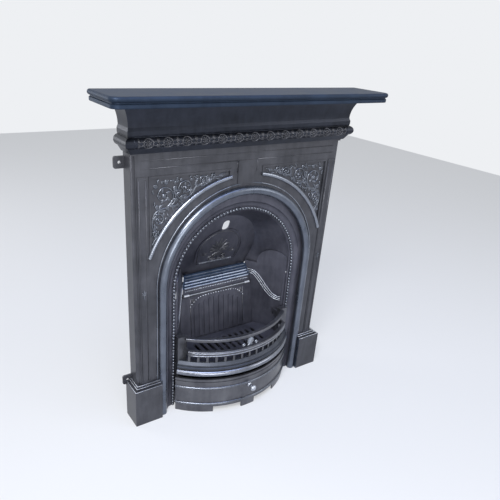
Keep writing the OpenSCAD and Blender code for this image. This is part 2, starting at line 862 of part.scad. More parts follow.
module cheek() {
    difference() {
        union() {
            intersection() {
                linear_extrude(far) cheek_slice(0, cheek_t);
                along_x(far) cheek_side_2d();
            }
            for (i = [0:ridges - 1])
                intersection() {
                    linear_extrude(far) cheek_slice(-ridge_h, 1);
                    along_x(far) polygon(concat(
                        ogee_line(i * ridge_pitch), backwards(ogee_line(i * ridge_pitch + ridge_w))
                    ));
                }
            translate([cheek_x(-ring_back_f) + flange_start, -ring_back_f, 0])
                cube([opening_r + flange_reach - cheek_x(-ring_back_f) - flange_start,
                    cheek_t, pivot_z - flange_drop]);
            intersection() {
                linear_extrude(far) cheek_slice(-grate_ledge_w, 1);
                translate([0, ledge_front_y, grate_z - grate_t - seat_gap - ledge_t])
                    cube([far, fireback_y - slide_gap, ledge_t]);
            }
            translate([stile_in - peg_lap, peg_y - peg_size / 2, peg_z])
                cube([cheek_x(peg_y) + peg_root - stile_in + peg_lap, peg_size, peg_size]);
            translate([cheek_x(fireback_y + fireback_t) - rib_in, fireback_y + fireback_t, 0])
                cube([rib_w, cheek_t, rib_h]);
        }
        each_cheek_bolt() pin_y(0, 0, small_bolt_r + bore_gap, -far, 0);
        each_fireback_bolt() pin_y(0, 0, small_bolt_r + bore_gap, fireback_y, far);
    }
}

cheek_bolt_z = [60, 225, 390];
cheek_bolt_out = 18;
cheek_bolt_deep = 6;
fireback_bolt_z = [50, 140];
fireback_bolt_in = 14;

module each_cheek_bolt() {
    for (side = [-1, 1], z = cheek_bolt_z)
        translate([side * (opening_r + cheek_bolt_out), 0, z]) children();
}

module each_fireback_bolt() {
    for (side = [-1, 1], z = fireback_bolt_z)
        translate([side * (cheek_x(fireback_y + fireback_t) - fireback_bolt_in), 0, z]) children();
}

module right_cheek() { color(iron_dark) at_wall() cheek(); }
module left_cheek() { color(iron_dark) at_wall() mirror([1, 0, 0]) cheek(); }

module cheek_bolts() {
    color(steel_dark) at_wall() each_cheek_bolt() translate([0, cheek_t - ring_back_f, 0])
        rotate([90, 0, 0]) hex_screw(small_bolt_r, cheek_t + cheek_bolt_deep - end_gap);
}

module fireback_bolts() {
    color(steel_dark) at_wall() each_fireback_bolt()
        translate([0, fireback_y + fireback_t + cheek_t, 0]) rotate([90, 0, 0])
            hex_screw(small_bolt_r, cheek_t + fireback_t - blind_wall - end_gap);
}

// ---------- Fireback and throat ----------

// Space between the cheeks, with a gap at each side
module between_cheeks(gap) {
    linear_extrude(far) polygon([
        [-cheek_x(0) + gap, 0], [cheek_x(0) - gap, 0],
        [cheek_x(far / 5) - gap, far / 5], [-cheek_x(far / 5) + gap, far / 5]
    ]);
}

lip_h = 10;
lip_d = 8;
lip_out = 5;
lip_clear = 2;
panel_arch_h = 34;
reed_foot = 5;

module fireback() {
    top_y = fireback_at(fireback_h);
    panel_top = fireback_h - panel_drop;
    reeds = 2 * floor(flute_half_w / flute_pitch);
    color(iron_dark) at_wall() difference() {
        union() {
            intersection() {
                along_x(far) polygon([
                    [fireback_y, 0], [fireback_y, grate_z], [top_y, fireback_h],
                    [top_y + fireback_t, fireback_h], [fireback_y + fireback_t, grate_z],
                    [fireback_y + fireback_t, 0]
                ]);
                between_cheeks(seat_gap);
            }
            intersection() {
                translate([-far / 2, fireback_at(fireback_h - lip_h / 2) - lip_out, fireback_h - lip_h])
                    cube([far, lip_d, lip_h]);
                between_cheeks(seat_gap + ridge_h + lip_clear);
            }
            translate([0, fireback_y, grate_z]) rotate([-fireback_lean, 0, 0]) {
                for (i = [0:reeds - 1])
                    let (x = (i - (reeds - 1) / 2) * flute_pitch,
                        h = panel_top - grate_z - panel_arch_h * pow(abs(x) / flute_half_w, 2)) {
                        translate([x - flute_pitch / 4, -flute_rise, reed_foot])
                            cube([flute_pitch / 2, flute_rise + 1, h - reed_foot]);
                        translate([x, -flute_rise, h]) rotate([-90, 0, 0])
                            cylinder(h = flute_rise + 1, r = flute_pitch / 4);
                    }
            }
        }
        each_fireback_bolt() pin_y(0, 0, small_bolt_r + bore_gap, fireback_y + blind_wall, far);
    }
}

throat_y0 = fireback_at(fireback_h);
throat_band_d = 2;
throat_y1 = throat_y0 + throat_band_d;
throat_y2 = throat_y1 + throat_slope_d;
throat_z1 = fireback_h + throat_band_h;
throat_z2 = throat_z1 + throat_slope_h;

reed_pack = 2.3;
reed_r = throat_slope_h / throat_reeds / reed_pack;
ridge_room = 1.3;
ear_sink = 2;

module throat_plate() {
    ear_x = knuckle_in + knuckle_l + seat_gap;
    color(iron_dark) at_wall() difference() {
        union() {
            intersection() {
                union() {
                    along_x(far) polygon([
                        [throat_y0, fireback_h], [throat_y1, throat_z1], [throat_y2, throat_z2],
                        [throat_y2 + throat_t, throat_z2], [throat_y1 + throat_t, throat_z1],
                        [throat_y0 + throat_t, fireback_h]
                    ]);
                    for (i = [0:throat_reeds - 1])
                        translate([0, throat_y1 + throat_slope_d * (i + 0.5) / throat_reeds,
                            throat_z1 + throat_slope_h * (i + 0.5) / throat_reeds])
                            rotate([0, 90, 0])
                                cylinder(h = far, r = reed_r, center = true);
                }
                between_cheeks(seat_gap + ridge_h * ridge_room);
                difference() {
                    translate([-far / 2, -far / 2, 0]) cube(far);
                    both_sides() translate([knuckle_in - ear_sink, pivot_y, pivot_z]) rotate([0, 90, 0])
                        cylinder(h = far, r = knuckle_r + 2 * seat_gap);
                }
            }
            both_sides() {
                translate([ear_x, pivot_y, pivot_z]) rotate([0, 90, 0])
                    cylinder(h = ear_t, r = knuckle_r);
                translate([ear_x, throat_y2 - ear_sink, pivot_z - knuckle_r])
                    cube([ear_t, pivot_y - throat_y2 + ear_sink, 2 * knuckle_r]);
            }
        }
        both_sides() translate([ear_x - 1, pivot_y, pivot_z]) rotate([0, 90, 0])
            cylinder(h = ear_t + 2, r = pivot_r + bore_gap);
    }
}

// ---------- Bottom grate ----------

module bottom_grate() {
    slot_front = -60;
    slot_back = 15;
    color(iron_dark) at_wall() difference() {
        translate([0, 0, grate_z - grate_t]) linear_extrude(grate_t) intersection() {
            translate([0, bow_y]) circle(apron_in_r - grate_front_play);
            translate([-grate_half_w, -bow_y])
                square([2 * grate_half_w, bow_y + fireback_y - flute_rise - slide_gap]);
            polygon([
                [-cheek_x(-bow_y) + slide_gap, -bow_y], [cheek_x(-bow_y) - slide_gap, -bow_y],
                [cheek_x(bow_y) - slide_gap, bow_y], [-cheek_x(bow_y) + slide_gap, bow_y]
            ]);
        }
        for (i = [0:grate_slots - 1])
            translate([(i - (grate_slots - 1) / 2) * slot_pitch, 0, grate_z - grate_t - 1]) {
                translate([-slot_w / 2, slot_front, 0])
                    cube([slot_w, slot_back - slot_front, grate_t + 2]);
                for (y = [slot_front, slot_back])
                    translate([0, y, 0]) cylinder(h = grate_t + 2, r = slot_w / 2);
            }
    }
}

// ---------- Fire front ----------

// Sweeps a section (radius, z) along the bow, out to half width x at radius r
module bow(x, r) {
    a = asin(x / r);
    translate([0, bow_y, 0]) rotate([0, 0, -90 - a]) rotate_extrude(angle = 2 * a) children();
}

rail_round = 3;

module rail(front_r, top, h) {
    translate([front_r - rail_d, top - h]) square([rail_d - rail_round, h]);
    translate([front_r - rail_d, top - h + rail_round]) square([rail_d, h - 2 * rail_round]);
    for (z = [top - rail_round, top - h + rail_round])
        translate([front_r - rail_round, z]) circle(rail_round);
}

apron_steps = [[11, 3], [6, 5], [6, 10], [12, 13], [10, 16], [10, 20]];
apron_crown_in = 18;

// Section of the apron; each step is [back from the front, up from the half round]
function apron_section() = concat(
    [[apron_in_r, apron_z]],
    arc([apron_out_r - apron_round_h / 2, apron_z + apron_round_h / 2], apron_round_h / 2, -90, 90, 12),
    [for (step = apron_steps) [apron_out_r - step[0], apron_z + apron_round_h + step[1]]],
    [[apron_out_r - apron_crown_in, apron_top_z], [apron_in_r, apron_top_z]]
);

hook_t = 5;
hook_wall = 5;
hook_drop = 10;
hook_crown = 6;
hook_root = 2;

module hook() {
    back_y = peg_y + peg_size / 2 + seat_gap + hook_wall;
    roof_z = peg_z + peg_size + seat_gap;
    difference() {
        translate([stile_in - 1, -seat_f - hook_root, peg_z - hook_drop])
            cube([hook_t, back_y + seat_f + hook_root, hook_drop + peg_size + hook_crown]);
        translate([stile_in - 2, peg_y - peg_size / 2 - seat_gap, peg_z - hook_drop - 1])
            cube([hook_t + 2, peg_size + 2 * seat_gap, roof_z - peg_z + hook_drop + 1]);
    }
}

// A bowed rail with its two ends returned to the stiles
module closed_rail(front_r, top, h) {
    end_f = sqrt(pow(front_r, 2) - pow(rail_half_w, 2)) - bow_y;
    bow(rail_half_w, front_r) rail(front_r, top, h);
    both_sides() translate([stile_in, -end_f, top - h + 1])
        cube([rail_half_w - 1 - stile_in, end_f - seat_f - stile_t / 2, h - 2]);
}

bar_spread = 78;
bar_d = 7;
short_bar_out = 9;
key_bar_x = [-9, 0, 9];
key_bar_w = 5;

module fire_front() {
    color(iron_mid) at_wall() {
        closed_rail(top_rail_r, top_rail_z, top_rail_h);
        closed_rail(mid_rail_r, mid_rail_z, mid_rail_h);
        bow(cover_half_w, apron_out_r) polygon(apron_section());
        both_sides() {
            translate([stile_in, -seat_f - 1 - stile_t, apron_z])
                cube([stile_out - stile_in, stile_t, top_rail_z - apron_z]);
            hook();
        }
        translate([0, bow_y, 0]) {
            for (i = [0:short_bars - 1])
                rotate([0, 0, (i - (short_bars - 1) / 2) * bar_spread / (short_bars - 1)])
                    translate([-short_bar_w / 2, -apron_in_r - short_bar_out, apron_top_z - 1])
                        cube([short_bar_w, bar_d, mid_rail_z - mid_rail_h - apron_top_z + 2]);
            for (x = key_bar_x)
                translate([x - key_bar_w / 2, -top_rail_r + 1, mid_rail_z - 1])
                    cube([key_bar_w, bar_d, top_rail_z - top_rail_h - mid_rail_z + 2]);
        }
    }
}

// ---------- Ash pit ----------

cover_bead_z = [35, 103];
cover_bead_r = 5;
cover_band_z = 121;
cover_band_h = 8;
cover_band_out = 2;
cover_lip_z = 133;
cover_lip_out = 3;
cover_lug_z = 60;
cover_lug_h = 80;
cover_lug_t = 8;

module ash_pit_cover() {
    color(iron_mid) at_wall() difference() {
        union() {
            bow(cover_half_w, cover_r) {
                translate([cover_r - cover_t, 0]) square([cover_t, cover_h]);
                for (z = cover_bead_z)
                    translate([cover_r, z]) circle(cover_bead_r);
                translate([cover_r - 1, cover_band_z]) square([cover_band_out + 1, cover_band_h]);
                translate([cover_r - 1, cover_lip_z]) square([cover_lip_out + 1, cover_h - cover_lip_z]);
            }
            intersection() {
                translate([0, bow_y, cover_lug_z])
                    cylinder(h = cover_lug_h, r = cover_r - cover_t / 2);
                both_sides() translate([opening_r - seat_gap - cover_lug_t, -ring_back_f - 1 - far, 0])
                    cube([cover_lug_t, far, far]);
            }
        }
        for (side = [-1, 1])
            translate([side * (mid_foot + outer_foot) / 2, 0, -1])
                translate([mid_foot / 2 - outer_foot / 2, -far, 0])
                    cube([outer_foot - mid_foot, far, draught_h + 1]);
        pin_y(0, knob_z, knob_screw_r + bore_gap, -far, 0);
    }
}

knob_screw_out = 8;
knob_foot_r = 8;
knob_foot_t = 2;
knob_neck_r = 4.5;
knob_neck_z = 5;
knob_head_h = 20;
knob_wide_h = [13, 7];
knob_tip_h = 2;
knob_tip_share = 0.6;

module cover_knob() {
    face_y = bow_y - cover_r;
    color(iron_light) at_wall() translate([0, face_y, knob_z]) rotate([90, 0, 0]) {
        translate([0, 0, -cover_t - knob_screw_out])
            cylinder(h = cover_t + knob_screw_out + end_gap, r = knob_screw_r);
        translate([0, 0, seat_gap / 2]) rotate_extrude() polygon(concat(
            [[0, 0], [knob_foot_r, 0], [knob_foot_r, knob_foot_t]],
            [[knob_neck_r, knob_neck_z], [knob_neck_r, knob_l - knob_head_h]],
            [for (h = knob_wide_h) [knob_r, knob_l - h]],
            [[knob_r * knob_tip_share, knob_l - knob_tip_h], [0, knob_l - seat_gap / 2]]
        ));
    }
}

nut_h = 1.5 * knob_screw_r;

module knob_nut() {
    nut_r = head_share * knob_screw_r;
    inner_y = bow_y - sqrt(pow(cover_r - cover_t, 2) - pow(nut_r, 2));
    color(steel_dark) at_wall() difference() {
        translate([0, inner_y, knob_z]) rotate([-90, 0, 0])
            cylinder(h = nut_h, r = nut_r, $fn = 6);
        pin_y(0, knob_z, knob_screw_r + bore_gap, -far, 0);
    }
}

pan_back_y = fireback_y - seat_gap;
pan_front_y = pan_back_y - pan_l;
handle_z = pan_h * 0.6;
tab_l = 18;
tab_w = 12;
tab_t = 2;
tab_rivet_out = 8;
rivet_head_t = 2;
rivet_back_t = 1.5;

module ash_pan() {
    color(steel_dark) at_wall() difference() {
        translate([-pan_half_w, pan_front_y, 0]) cube([2 * pan_half_w, pan_l, pan_h]);
        translate([-pan_half_w + pan_t, pan_front_y + pan_t, pan_t])
            cube([2 * (pan_half_w - pan_t), pan_l - 2 * pan_t, pan_h]);
        each_handle_rivet() pin_y(0, 0, rivet_r + bore_gap, -far, 0);
    }
}

module each_handle_rivet() {
    for (side = [-1, 1])
        translate([side * (handle_half_l + tab_rivet_out), 0, handle_z]) children();
}

module ash_pan_handle() {
    y = pan_front_y;
    color(steel_dark) at_wall() difference() {
        union() {
            both_sides() {
                translate([handle_half_l - handle_r, y - tab_t, handle_z - tab_w / 2])
                    cube([tab_l, tab_t, tab_w]);
                pin_y(handle_half_l, handle_z, handle_r, y - handle_reach, y - 1);
                translate([handle_half_l, y - handle_reach, handle_z]) sphere(handle_r);
            }
            translate([-handle_half_l, y - handle_reach, handle_z]) rotate([0, 90, 0])
                cylinder(h = 2 * handle_half_l, r = handle_r);
        }
        each_handle_rivet() pin_y(0, 0, rivet_r + bore_gap, -far, 0);
    }
}

module ash_pan_rivets() {
    color(iron_light) at_wall() each_handle_rivet() {
        pin_y(0, 0, rivet_r, pan_front_y - tab_t - 1, pan_front_y + pan_t + 1);
        pin_y(0, 0, rivet_head_r, pan_front_y - tab_t - rivet_head_t, pan_front_y - tab_t);
        pin_y(0, 0, rivet_head_r, pan_front_y + pan_t, pan_front_y + pan_t + rivet_back_t);
    }
}

surround();
cornice();
mantel_shelf();
cornice_bolts();
shelf_bolts();
arched_insert();
insert_bolts();
register_flap();
flap_pivots();
left_cheek();
right_cheek();
cheek_bolts();
fireback();
fireback_bolts();
throat_plate();
bottom_grate();
fire_front();
ash_pit_cover();
cover_knob();
knob_nut();
ash_pan();
ash_pan_handle();
ash_pan_rivets();
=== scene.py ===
import math
import random
import bpy
import bmesh
from mathutils import Vector, Matrix


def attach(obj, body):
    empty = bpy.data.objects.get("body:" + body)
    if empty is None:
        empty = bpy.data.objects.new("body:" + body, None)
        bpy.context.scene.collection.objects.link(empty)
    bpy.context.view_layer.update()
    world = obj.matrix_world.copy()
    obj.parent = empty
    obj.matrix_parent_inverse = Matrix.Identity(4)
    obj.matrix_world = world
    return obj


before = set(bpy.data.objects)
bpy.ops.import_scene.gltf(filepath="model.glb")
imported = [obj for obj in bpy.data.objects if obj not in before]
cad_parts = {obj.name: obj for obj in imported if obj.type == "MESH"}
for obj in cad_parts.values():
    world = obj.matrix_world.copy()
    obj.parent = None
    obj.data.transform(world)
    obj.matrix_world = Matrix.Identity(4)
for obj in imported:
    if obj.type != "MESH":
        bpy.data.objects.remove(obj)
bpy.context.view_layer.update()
print("frame loaded")

mm = 0.001
# distance of the bowed front's axis behind the wall plane, in millimetres
bowAxis = 168.6
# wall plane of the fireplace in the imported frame, in millimetres
wallY = 37.078


# point given by X, distance forward of the wall and height, in millimetres
def place(x, forward, z):
    return Vector((x * mm, (wallY - forward) * mm, z * mm))


# linear colour from a hex code
def srgb(code):
    parts = [int(code[i:i + 2], 16) / 255 for i in (1, 3, 5)]
    return [p / 12.92 if p <= 0.04045 else ((p + 0.055) / 1.055) ** 2.4 for p in parts] + [1.0]


# adds a node to a shader or geometry tree with its settings and links, and returns it
def node(tree, kind, settings=None, links=None):
    made = tree.nodes.new(kind)
    for key, value in (settings or {}).items():
        if isinstance(key, str) and hasattr(made, key):
            setattr(made, key, value)
        else:
            made.inputs[key].default_value = value
    for key, source in (links or {}).items():
        tree.links.new(source, made.inputs[key])
    return made


# black-leaded cast iron: graphite polish over a sand-cast skin
castFinish = {
    "grainSize": 1.1,
    "waveSize": 38.0,
    "grainDepth": 0.06,
    "waveDepth": 0.55,
    "patchSize": 70.0,
    "rubSize": 14.0,
    "rubStretch": 0.18,
    "rubShare": 0.35,
    "darkBelow": 0.32,
    "lightAbove": 0.68,
    "roughFrom": 0.3,
    "roughTo": 0.7,
    "grainStrength": 0.5,
    "waveStrength": 0.25,
}


# iron from its dark and light colours, its least and most roughness, and its shares of grain and metal
def castIron(name, darkCode, lightCode, roughLow, roughHigh, grain=1.0, metal=0.75):
    made = bpy.data.materials.new(name)
    made.use_nodes = True
    tree = made.node_tree
    look = castFinish
    shader = tree.nodes["Principled BSDF"]
    spot = node(tree, "ShaderNodeTexCoord").outputs["Object"]
    patches = node(tree, "ShaderNodeTexNoise", {
        "Scale": 1 / (look["patchSize"] * mm), "Detail": 4.0, "Roughness": 0.6,
    }, {"Vector": spot})
    streak = node(tree, "ShaderNodeMapping", {"Scale": (1.0, 1.0, look["rubStretch"])}, {"Vector": spot})
    rubbed = node(tree, "ShaderNodeTexNoise", {
        "Scale": 1 / (look["rubSize"] * mm), "Detail": 3.0, "Roughness": 0.55,
    }, {"Vector": streak.outputs["Vector"]})
    tone = node(tree, "ShaderNodeMix", {"data_type": "FLOAT", "Factor": look["rubShare"]}, {
        "A": patches.outputs["Fac"], "B": rubbed.outputs["Fac"],
    })
    colour = node(tree, "ShaderNodeValToRGB", links={"Fac": tone.outputs["Result"]})
    colour.color_ramp.elements[0].position = look["darkBelow"]
    colour.color_ramp.elements[0].color = srgb(darkCode)
    colour.color_ramp.elements[1].position = look["lightAbove"]
    colour.color_ramp.elements[1].color = srgb(lightCode)
    rough = node(tree, "ShaderNodeMapRange", {
        "From Min": look["roughFrom"], "From Max": look["roughTo"],
        "To Min": roughLow, "To Max": roughHigh,
    }, {"Value": tone.outputs["Result"]})
    fine = node(tree, "ShaderNodeTexNoise", {
        "Scale": 1 / (look["grainSize"] * mm), "Detail": 2.0, "Roughness": 0.6,
    }, {"Vector": spot})
    wave = node(tree, "ShaderNodeTexNoise", {
        "Scale": 1 / (look["waveSize"] * mm), "Detail": 1.0, "Roughness": 0.4,
    }, {"Vector": spot})
    soft = node(tree, "ShaderNodeBump", {
        "Strength": look["waveStrength"], "Distance": look["waveDepth"] * mm,
    }, {"Height": wave.outputs["Fac"]})
    bump = node(tree, "ShaderNodeBump", {
        "Strength": look["grainStrength"] * grain, "Distance": look["grainDepth"] * mm,
    }, {"Height": fine.outputs["Fac"], "Normal": soft.outputs["Normal"]})
    for key, source in (("Base Color", colour.outputs["Color"]),
                        ("Roughness", rough.outputs["Result"]),
                        ("Normal", bump.outputs["Normal"])):
        tree.links.new(source, shader.inputs[key])
    shader.inputs["Metallic"].default_value = metal
    return made


# surround: polished graphite grey with a cold sheen
polishedIron = castIron("graphite polished cast iron", "#404146", "#58595f", 0.3, 0.44)
# cornice: the same polish, darkened as painted shade under the shelf's overhang and a painted dark reflection
# of the ground
corniceShadeIron = castIron("polished cast iron darkened as painted shade", "#23262e", "#333742", 0.3, 0.44)
# mantel shelf: a smooth blue-black polish, its blue partly a painted reflection of cool sky light
shelfSkyIron = castIron("smooth blue-black cast iron with painted sky reflection", "#1f2a3a", "#2c394c", 0.5, 0.6, 0.6)
# the large half round and the thin fillet beside it, rubbed smooth and painted lighter as a painted highlight
roundHighlightIron = castIron("smooth half round with painted highlight", "#575d68", "#747a86", 0.25, 0.33, 0.5, 0.9)
# edges and small mouldings painted near white as a painted highlight
edgeGlintIron = castIron("cast iron edge with painted glint", "#9a9fa9", "#bcc1ca", 0.3, 0.4, 0.5, 0.95)
# fillets of the spandrels, painted light like the half round as a painted highlight
filletHighlightIron = castIron("cast iron fillet with painted highlight", "#7a7f8a", "#999ea8", 0.22, 0.31, 0.5, 0.95)
# hollow of the fire front, darker and rougher: painted shade that damps the lamp's reflection there
hollowShadeIron = castIron("fire front hollow with painted shade", "#3a3d45", "#4d5159", 0.44, 0.56, 0.7, 0.8)
# half round of the fire front, painted light as a painted highlight
barHighlightIron = castIron("fire front bar with painted highlight", "#6e727c", "#91959f", 0.2, 0.28, 0.5, 0.95)
# ledges of the plinths, painted near white as a painted glint
ledgeGlintIron = castIron("plinth ledge with painted glint", "#c6cad2", "#e2e5eb", 0.36, 0.5, 0.4, 0.6)
# cast relief, rubbed, and painted lighter than its ground as a painted sheen
reliefSheenIron = castIron("rubbed cast iron relief with painted sheen", "#53575f", "#737780", 0.2, 0.32, 0.5, 0.85)
# hood, cheeks and fireback: duller blacklead, its colour raised as painted fill light in the shaded opening
fillLitDullIron = castIron("dull blackleaded cast iron with painted fill light", "#43444e", "#5e5f6a", 0.4, 0.54)
# throat plate: dark blue, a painted reflection of cool sky light, dark as painted shade between the reeds
throatSkyIron = castIron("throat plate with painted sky reflection and shade", "#2f3b50", "#46566f", 0.3, 0.42, 0.5, 0.9)
# the throat's reeds, pale blue as a painted highlight of cool sky light
reedHighlightIron = castIron("throat reeds with painted highlight", "#95a0b6", "#b9c2d2", 0.24, 0.34, 0.5, 0.92)
# fire front and ash pit cover: rubbed brighter than the surround
frontIron = castIron("rubbed cast iron fire front", "#515258", "#6f7075", 0.26, 0.4, 0.7, 0.85)
# bolts and nuts: blackened steel
boltSteel = castIron("blackened bolt steel", "#3c3e42", "#55575c", 0.35, 0.5, 0.4, 0.9)
# ash pan: black sheet steel
panSteel = castIron("black sheet steel", "#2c2e32", "#3c3f45", 0.35, 0.48, 0.4, 0.6)

# finish and slot of each CAD node
nodeFinish = {
    "surround": (polishedIron, "cast_surround"),
    "cornice": (corniceShadeIron, "cast_surround"),
    "mantel_shelf": (shelfSkyIron, "cast_shelf"),
    "cornice_bolts": (boltSteel, "bolt_steel"),
    "shelf_bolts": (boltSteel, "bolt_steel"),
    "arched_insert": (fillLitDullIron, "cast_insert"),
    "insert_bolts": (boltSteel, "bolt_steel"),
    "register_flap": (fillLitDullIron, "cast_insert"),
    "flap_pivots": (boltSteel, "bolt_steel"),
    "left_cheek": (fillLitDullIron, "cast_insert"),
    "right_cheek": (fillLitDullIron, "cast_insert"),
    "cheek_bolts": (boltSteel, "bolt_steel"),
    "fireback": (fillLitDullIron, "cast_insert"),
    "fireback_bolts": (boltSteel, "bolt_steel"),
    "throat_plate": (fillLitDullIron, "cast_insert"),
    "bottom_grate": (fillLitDullIron, "cast_insert"),
    "fire_front": (frontIron, "cast_front"),
    "ash_pit_cover": (frontIron, "cast_front"),
    # the knob's near-white colour is a painted highlight
    "cover_knob": (edgeGlintIron, "cast_front"),
    "knob_nut": (boltSteel, "bolt_steel"),
    "ash_pan": (panSteel, "pan_steel"),
    "ash_pan_handle": (panSteel, "pan_steel"),
    "ash_pan_rivets": (boltSteel, "bolt_steel"),
}
for name, (finish, slotName) in nodeFinish.items():
    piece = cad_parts[name]
    piece.data.materials.clear()
    piece.data.materials.append(finish)


# paints the faces of a CAD node whose middle passes a test on (|X|, forward, Z) in millimetres
def paintFaces(name, finish, test):
    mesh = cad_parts[name].data
    mesh.materials.append(finish)
    index = len(mesh.materials) - 1
    for face in mesh.polygons:
        c = face.center
        if test(abs(c.x) / mm, wallY - c.y / mm, c.z / mm):
            face.material_index = index


# distance from an arch's centre above the height spring, and from its middle line below that
def archR(x, z, spring):
    return math.hypot(x, max(0.0, z - spring))


# distance from the axis of the bowed fire front
def bowR(x, forward):
    return math.hypot(x, forward + bowAxis)


# where each band of painted highlight or painted shade starts and ends, in millimetres
bands = {
    "halfRoundProud": 57.05, "halfRoundIn": 272, "halfRoundOut": 304, "halfRoundSpring": 484,
    "filletProud": 55.5, "filletIn": 303.5, "filletOut": 310.5, "filletSpring": 488, "filletLowZ": 160,
    "throatZ": 388, "firebackZ": 356,
    "apronZ": 176, "hollowZ": 206, "apronR": 334, "hollowR": 314,
    "coverZ": 115, "coverR": 337,
}


def onHalfRound(x, forward, z):
    near = bands["halfRoundIn"] < archR(x, z, bands["halfRoundSpring"]) < bands["halfRoundOut"]
    return near and forward > bands["halfRoundProud"] and z > 0


def onFillet(x, forward, z):
    near = bands["filletIn"] < archR(x, z, bands["filletSpring"]) < bands["filletOut"]
    return near and forward > bands["filletProud"] and z > bands["filletLowZ"] and x > 1


# painted highlight on the large half round and the thin fillet
paintFaces("surround", roundHighlightIron, onHalfRound)
paintFaces("surround", roundHighlightIron, onFillet)
# painted sky reflection and shade on the throat's slope, and a painted highlight on the fireback's head
paintFaces("throat_plate", throatSkyIron, lambda x, f, z: z > bands["throatZ"])
paintFaces("fireback", frontIron, lambda x, f, z: z > bands["firebackZ"])
# painted highlight on the apron's half round, painted shade on the hollow over it, and the relief finish with
# its painted sheen on the beads of the ash pit cover
paintFaces("fire_front", barHighlightIron, lambda x, f, z: z < bands["apronZ"] and bowR(x, f) > bands["apronR"])
paintFaces("fire_front", hollowShadeIron,
           lambda x, f, z: bands["apronZ"] < z < bands["hollowZ"] and bowR(x, f) > bands["hollowR"])
paintFaces("ash_pit_cover", reliefSheenIron, lambda x, f, z: bowR(x, f) > bands["coverR"] and z < bands["coverZ"])
print("finishes set")


# sections across a relief, as shares of its half width and its height
hollowLeaf = [(-1.0, 0.0), (-0.82, 0.62), (-0.45, 1.0), (0.0, 0.45), (0.45, 1.0), (0.82, 0.62), (1.0, 0.0)]
roundStem = [(-1.0, 0.0), (-0.86, 0.5), (-0.5, 0.87), (0.0, 1.0), (0.5, 0.87), (0.86, 0.5), (1.0, 0.0)]


# joins rings of points, which follow one another from the index first, with four-sided faces
def joinRings(faces, first, ring, count):
    for i in range(count - 1):
        a, b = first + i * ring, first + (i + 1) * ring
        for k in range(ring):
            k2 = (k + 1) % ring
            faces.append((a + k, a + k2, b + k2, b + k))


# least half width and height of a relief, how deep its foot is sunk, and a boss's shares of radius and height
reliefLimits = {"halfWidth": 0.15, "height": 0.05, "sunk": 0.8}
bossLevels = [(1.0, 0.0), (0.86, 0.5), (0.5, 0.88)]


# swept relief: a spine of (u, v), half widths and heights, and a section across it, laid on a face by onFace
def sweepRelief(parts, onFace, spine, halfWidths, heights, section):
    verts, faces = parts
    first = len(verts)
    count = len(spine)
    ring = len(section) + 2
    for i, (u, v) in enumerate(spine):
        before = spine[max(i - 1, 0)]
        after = spine[min(i + 1, count - 1)]
        du, dv = after[0] - before[0], after[1] - before[1]
        size = math.hypot(du, dv) or 1.0
        nu, nv = -dv / size, du / size
        w, h = max(halfWidths[i], reliefLimits["halfWidth"]), max(heights[i], reliefLimits["height"])
        foot = -reliefLimits["sunk"] / h
        for s, t in [(-1.0, foot)] + section + [(1.0, foot)]:
            verts.append(onFace(u + nu * w * s, v + nv * w * s, t * h))
    joinRings(faces, first, ring, count)
    faces.append(tuple(first + k for k in reversed(range(ring))))
    faces.append(tuple(first + (count - 1) * ring + k for k in range(ring)))


# round boss of radius r and height h
def boss(parts, onFace, u, v, r, h, sides=12):
    verts, faces = parts
    first = len(verts)
    levels = [(1.0, -reliefLimits["sunk"] / h)] + bossLevels
    for share, up in levels:
        for k in range(sides):
            a = 2 * math.pi * k / sides
            verts.append(onFace(u + r * share * math.cos(a), v + r * share * math.sin(a), up * h))
    verts.append(onFace(u, v, h))
    joinRings(faces, first, sides, len(levels))
    last = first + (len(levels) - 1) * sides
    for k in range(sides):
        faces.append((last + k, last + (k + 1) % sides, len(verts) - 1))
    faces.append(tuple(first + k for k in reversed(range(sides))))


# how fast a coil tightens, the steps of a bend, a stem's lowest share of height, and a leaf's shares
growth = {
    "coil": 0.85, "bendSteps": 10, "stemLow": 0.55,
    "leafFoot": 0.25, "leafFull": 0.8, "leafTip": 0.2, "leafStart": 0.12, "leafLow": 0.5, "leafRise": 0.15,
}


# coil round (cu, cv) from radius r0 to r1, from the angle a0 in degrees
def spiral(cu, cv, r0, r1, a0, turns, steps=30):
    spine = []
    for i in range(steps + 1):
        t = i / steps
        r = r0 + (r1 - r0) * t ** growth["coil"]
        a = math.radians(a0 + 360 * turns * t)
        spine.append((cu + r * math.cos(a), cv + r * math.sin(a)))
    return spine


# evenly bent line that turns by curl degrees over its length
def bent(u, v, angle, length, curl):
    steps = growth["bendSteps"]
    spine = [(u, v)]
    a = math.radians(angle)
    for i in range(steps):
        a += math.radians(curl) / steps
        u += math.cos(a) * length / steps
        v += math.sin(a) * length / steps
        spine.append((u, v))
    return spine


# tapering stem from half width w0 to w1
def stem(parts, onFace, spine, w0, w1, h):
    n = len(spine) - 1
    widths = [w0 + (w1 - w0) * i / n for i in range(n + 1)]
    low = growth["stemLow"]
    heights = [h * (low + (1 - low) * width / max(w0, w1)) for width in widths]
    sweepRelief(parts, onFace, spine, widths, heights, roundStem)


# hollow leaf with two raised edges, from (u, v) towards an angle in degrees
def leaf(parts, onFace, u, v, angle, length, width, curl, h):
    spine = bent(u, v, angle, length, curl)
    n = len(spine) - 1
    foot, start = growth["leafFoot"], growth["leafStart"]
    low, rise = growth["leafLow"], growth["leafRise"]
    widths, heights = [], []
    for i in range(n + 1):
        swell = math.sin(math.pi * min(1.0, start + (1 - start) * i / n)) ** growth["leafFull"]
        widths.append(width * (foot + (1 - foot) * swell))
        heights.append(h * (low + (1 - low) * math.sin(math.pi * (rise + (1 - 2 * rise) * i / n))))
    widths[-1] = growth["leafTip"]
    sweepRelief(parts, onFace, spine, widths, heights, hollowLeaf)


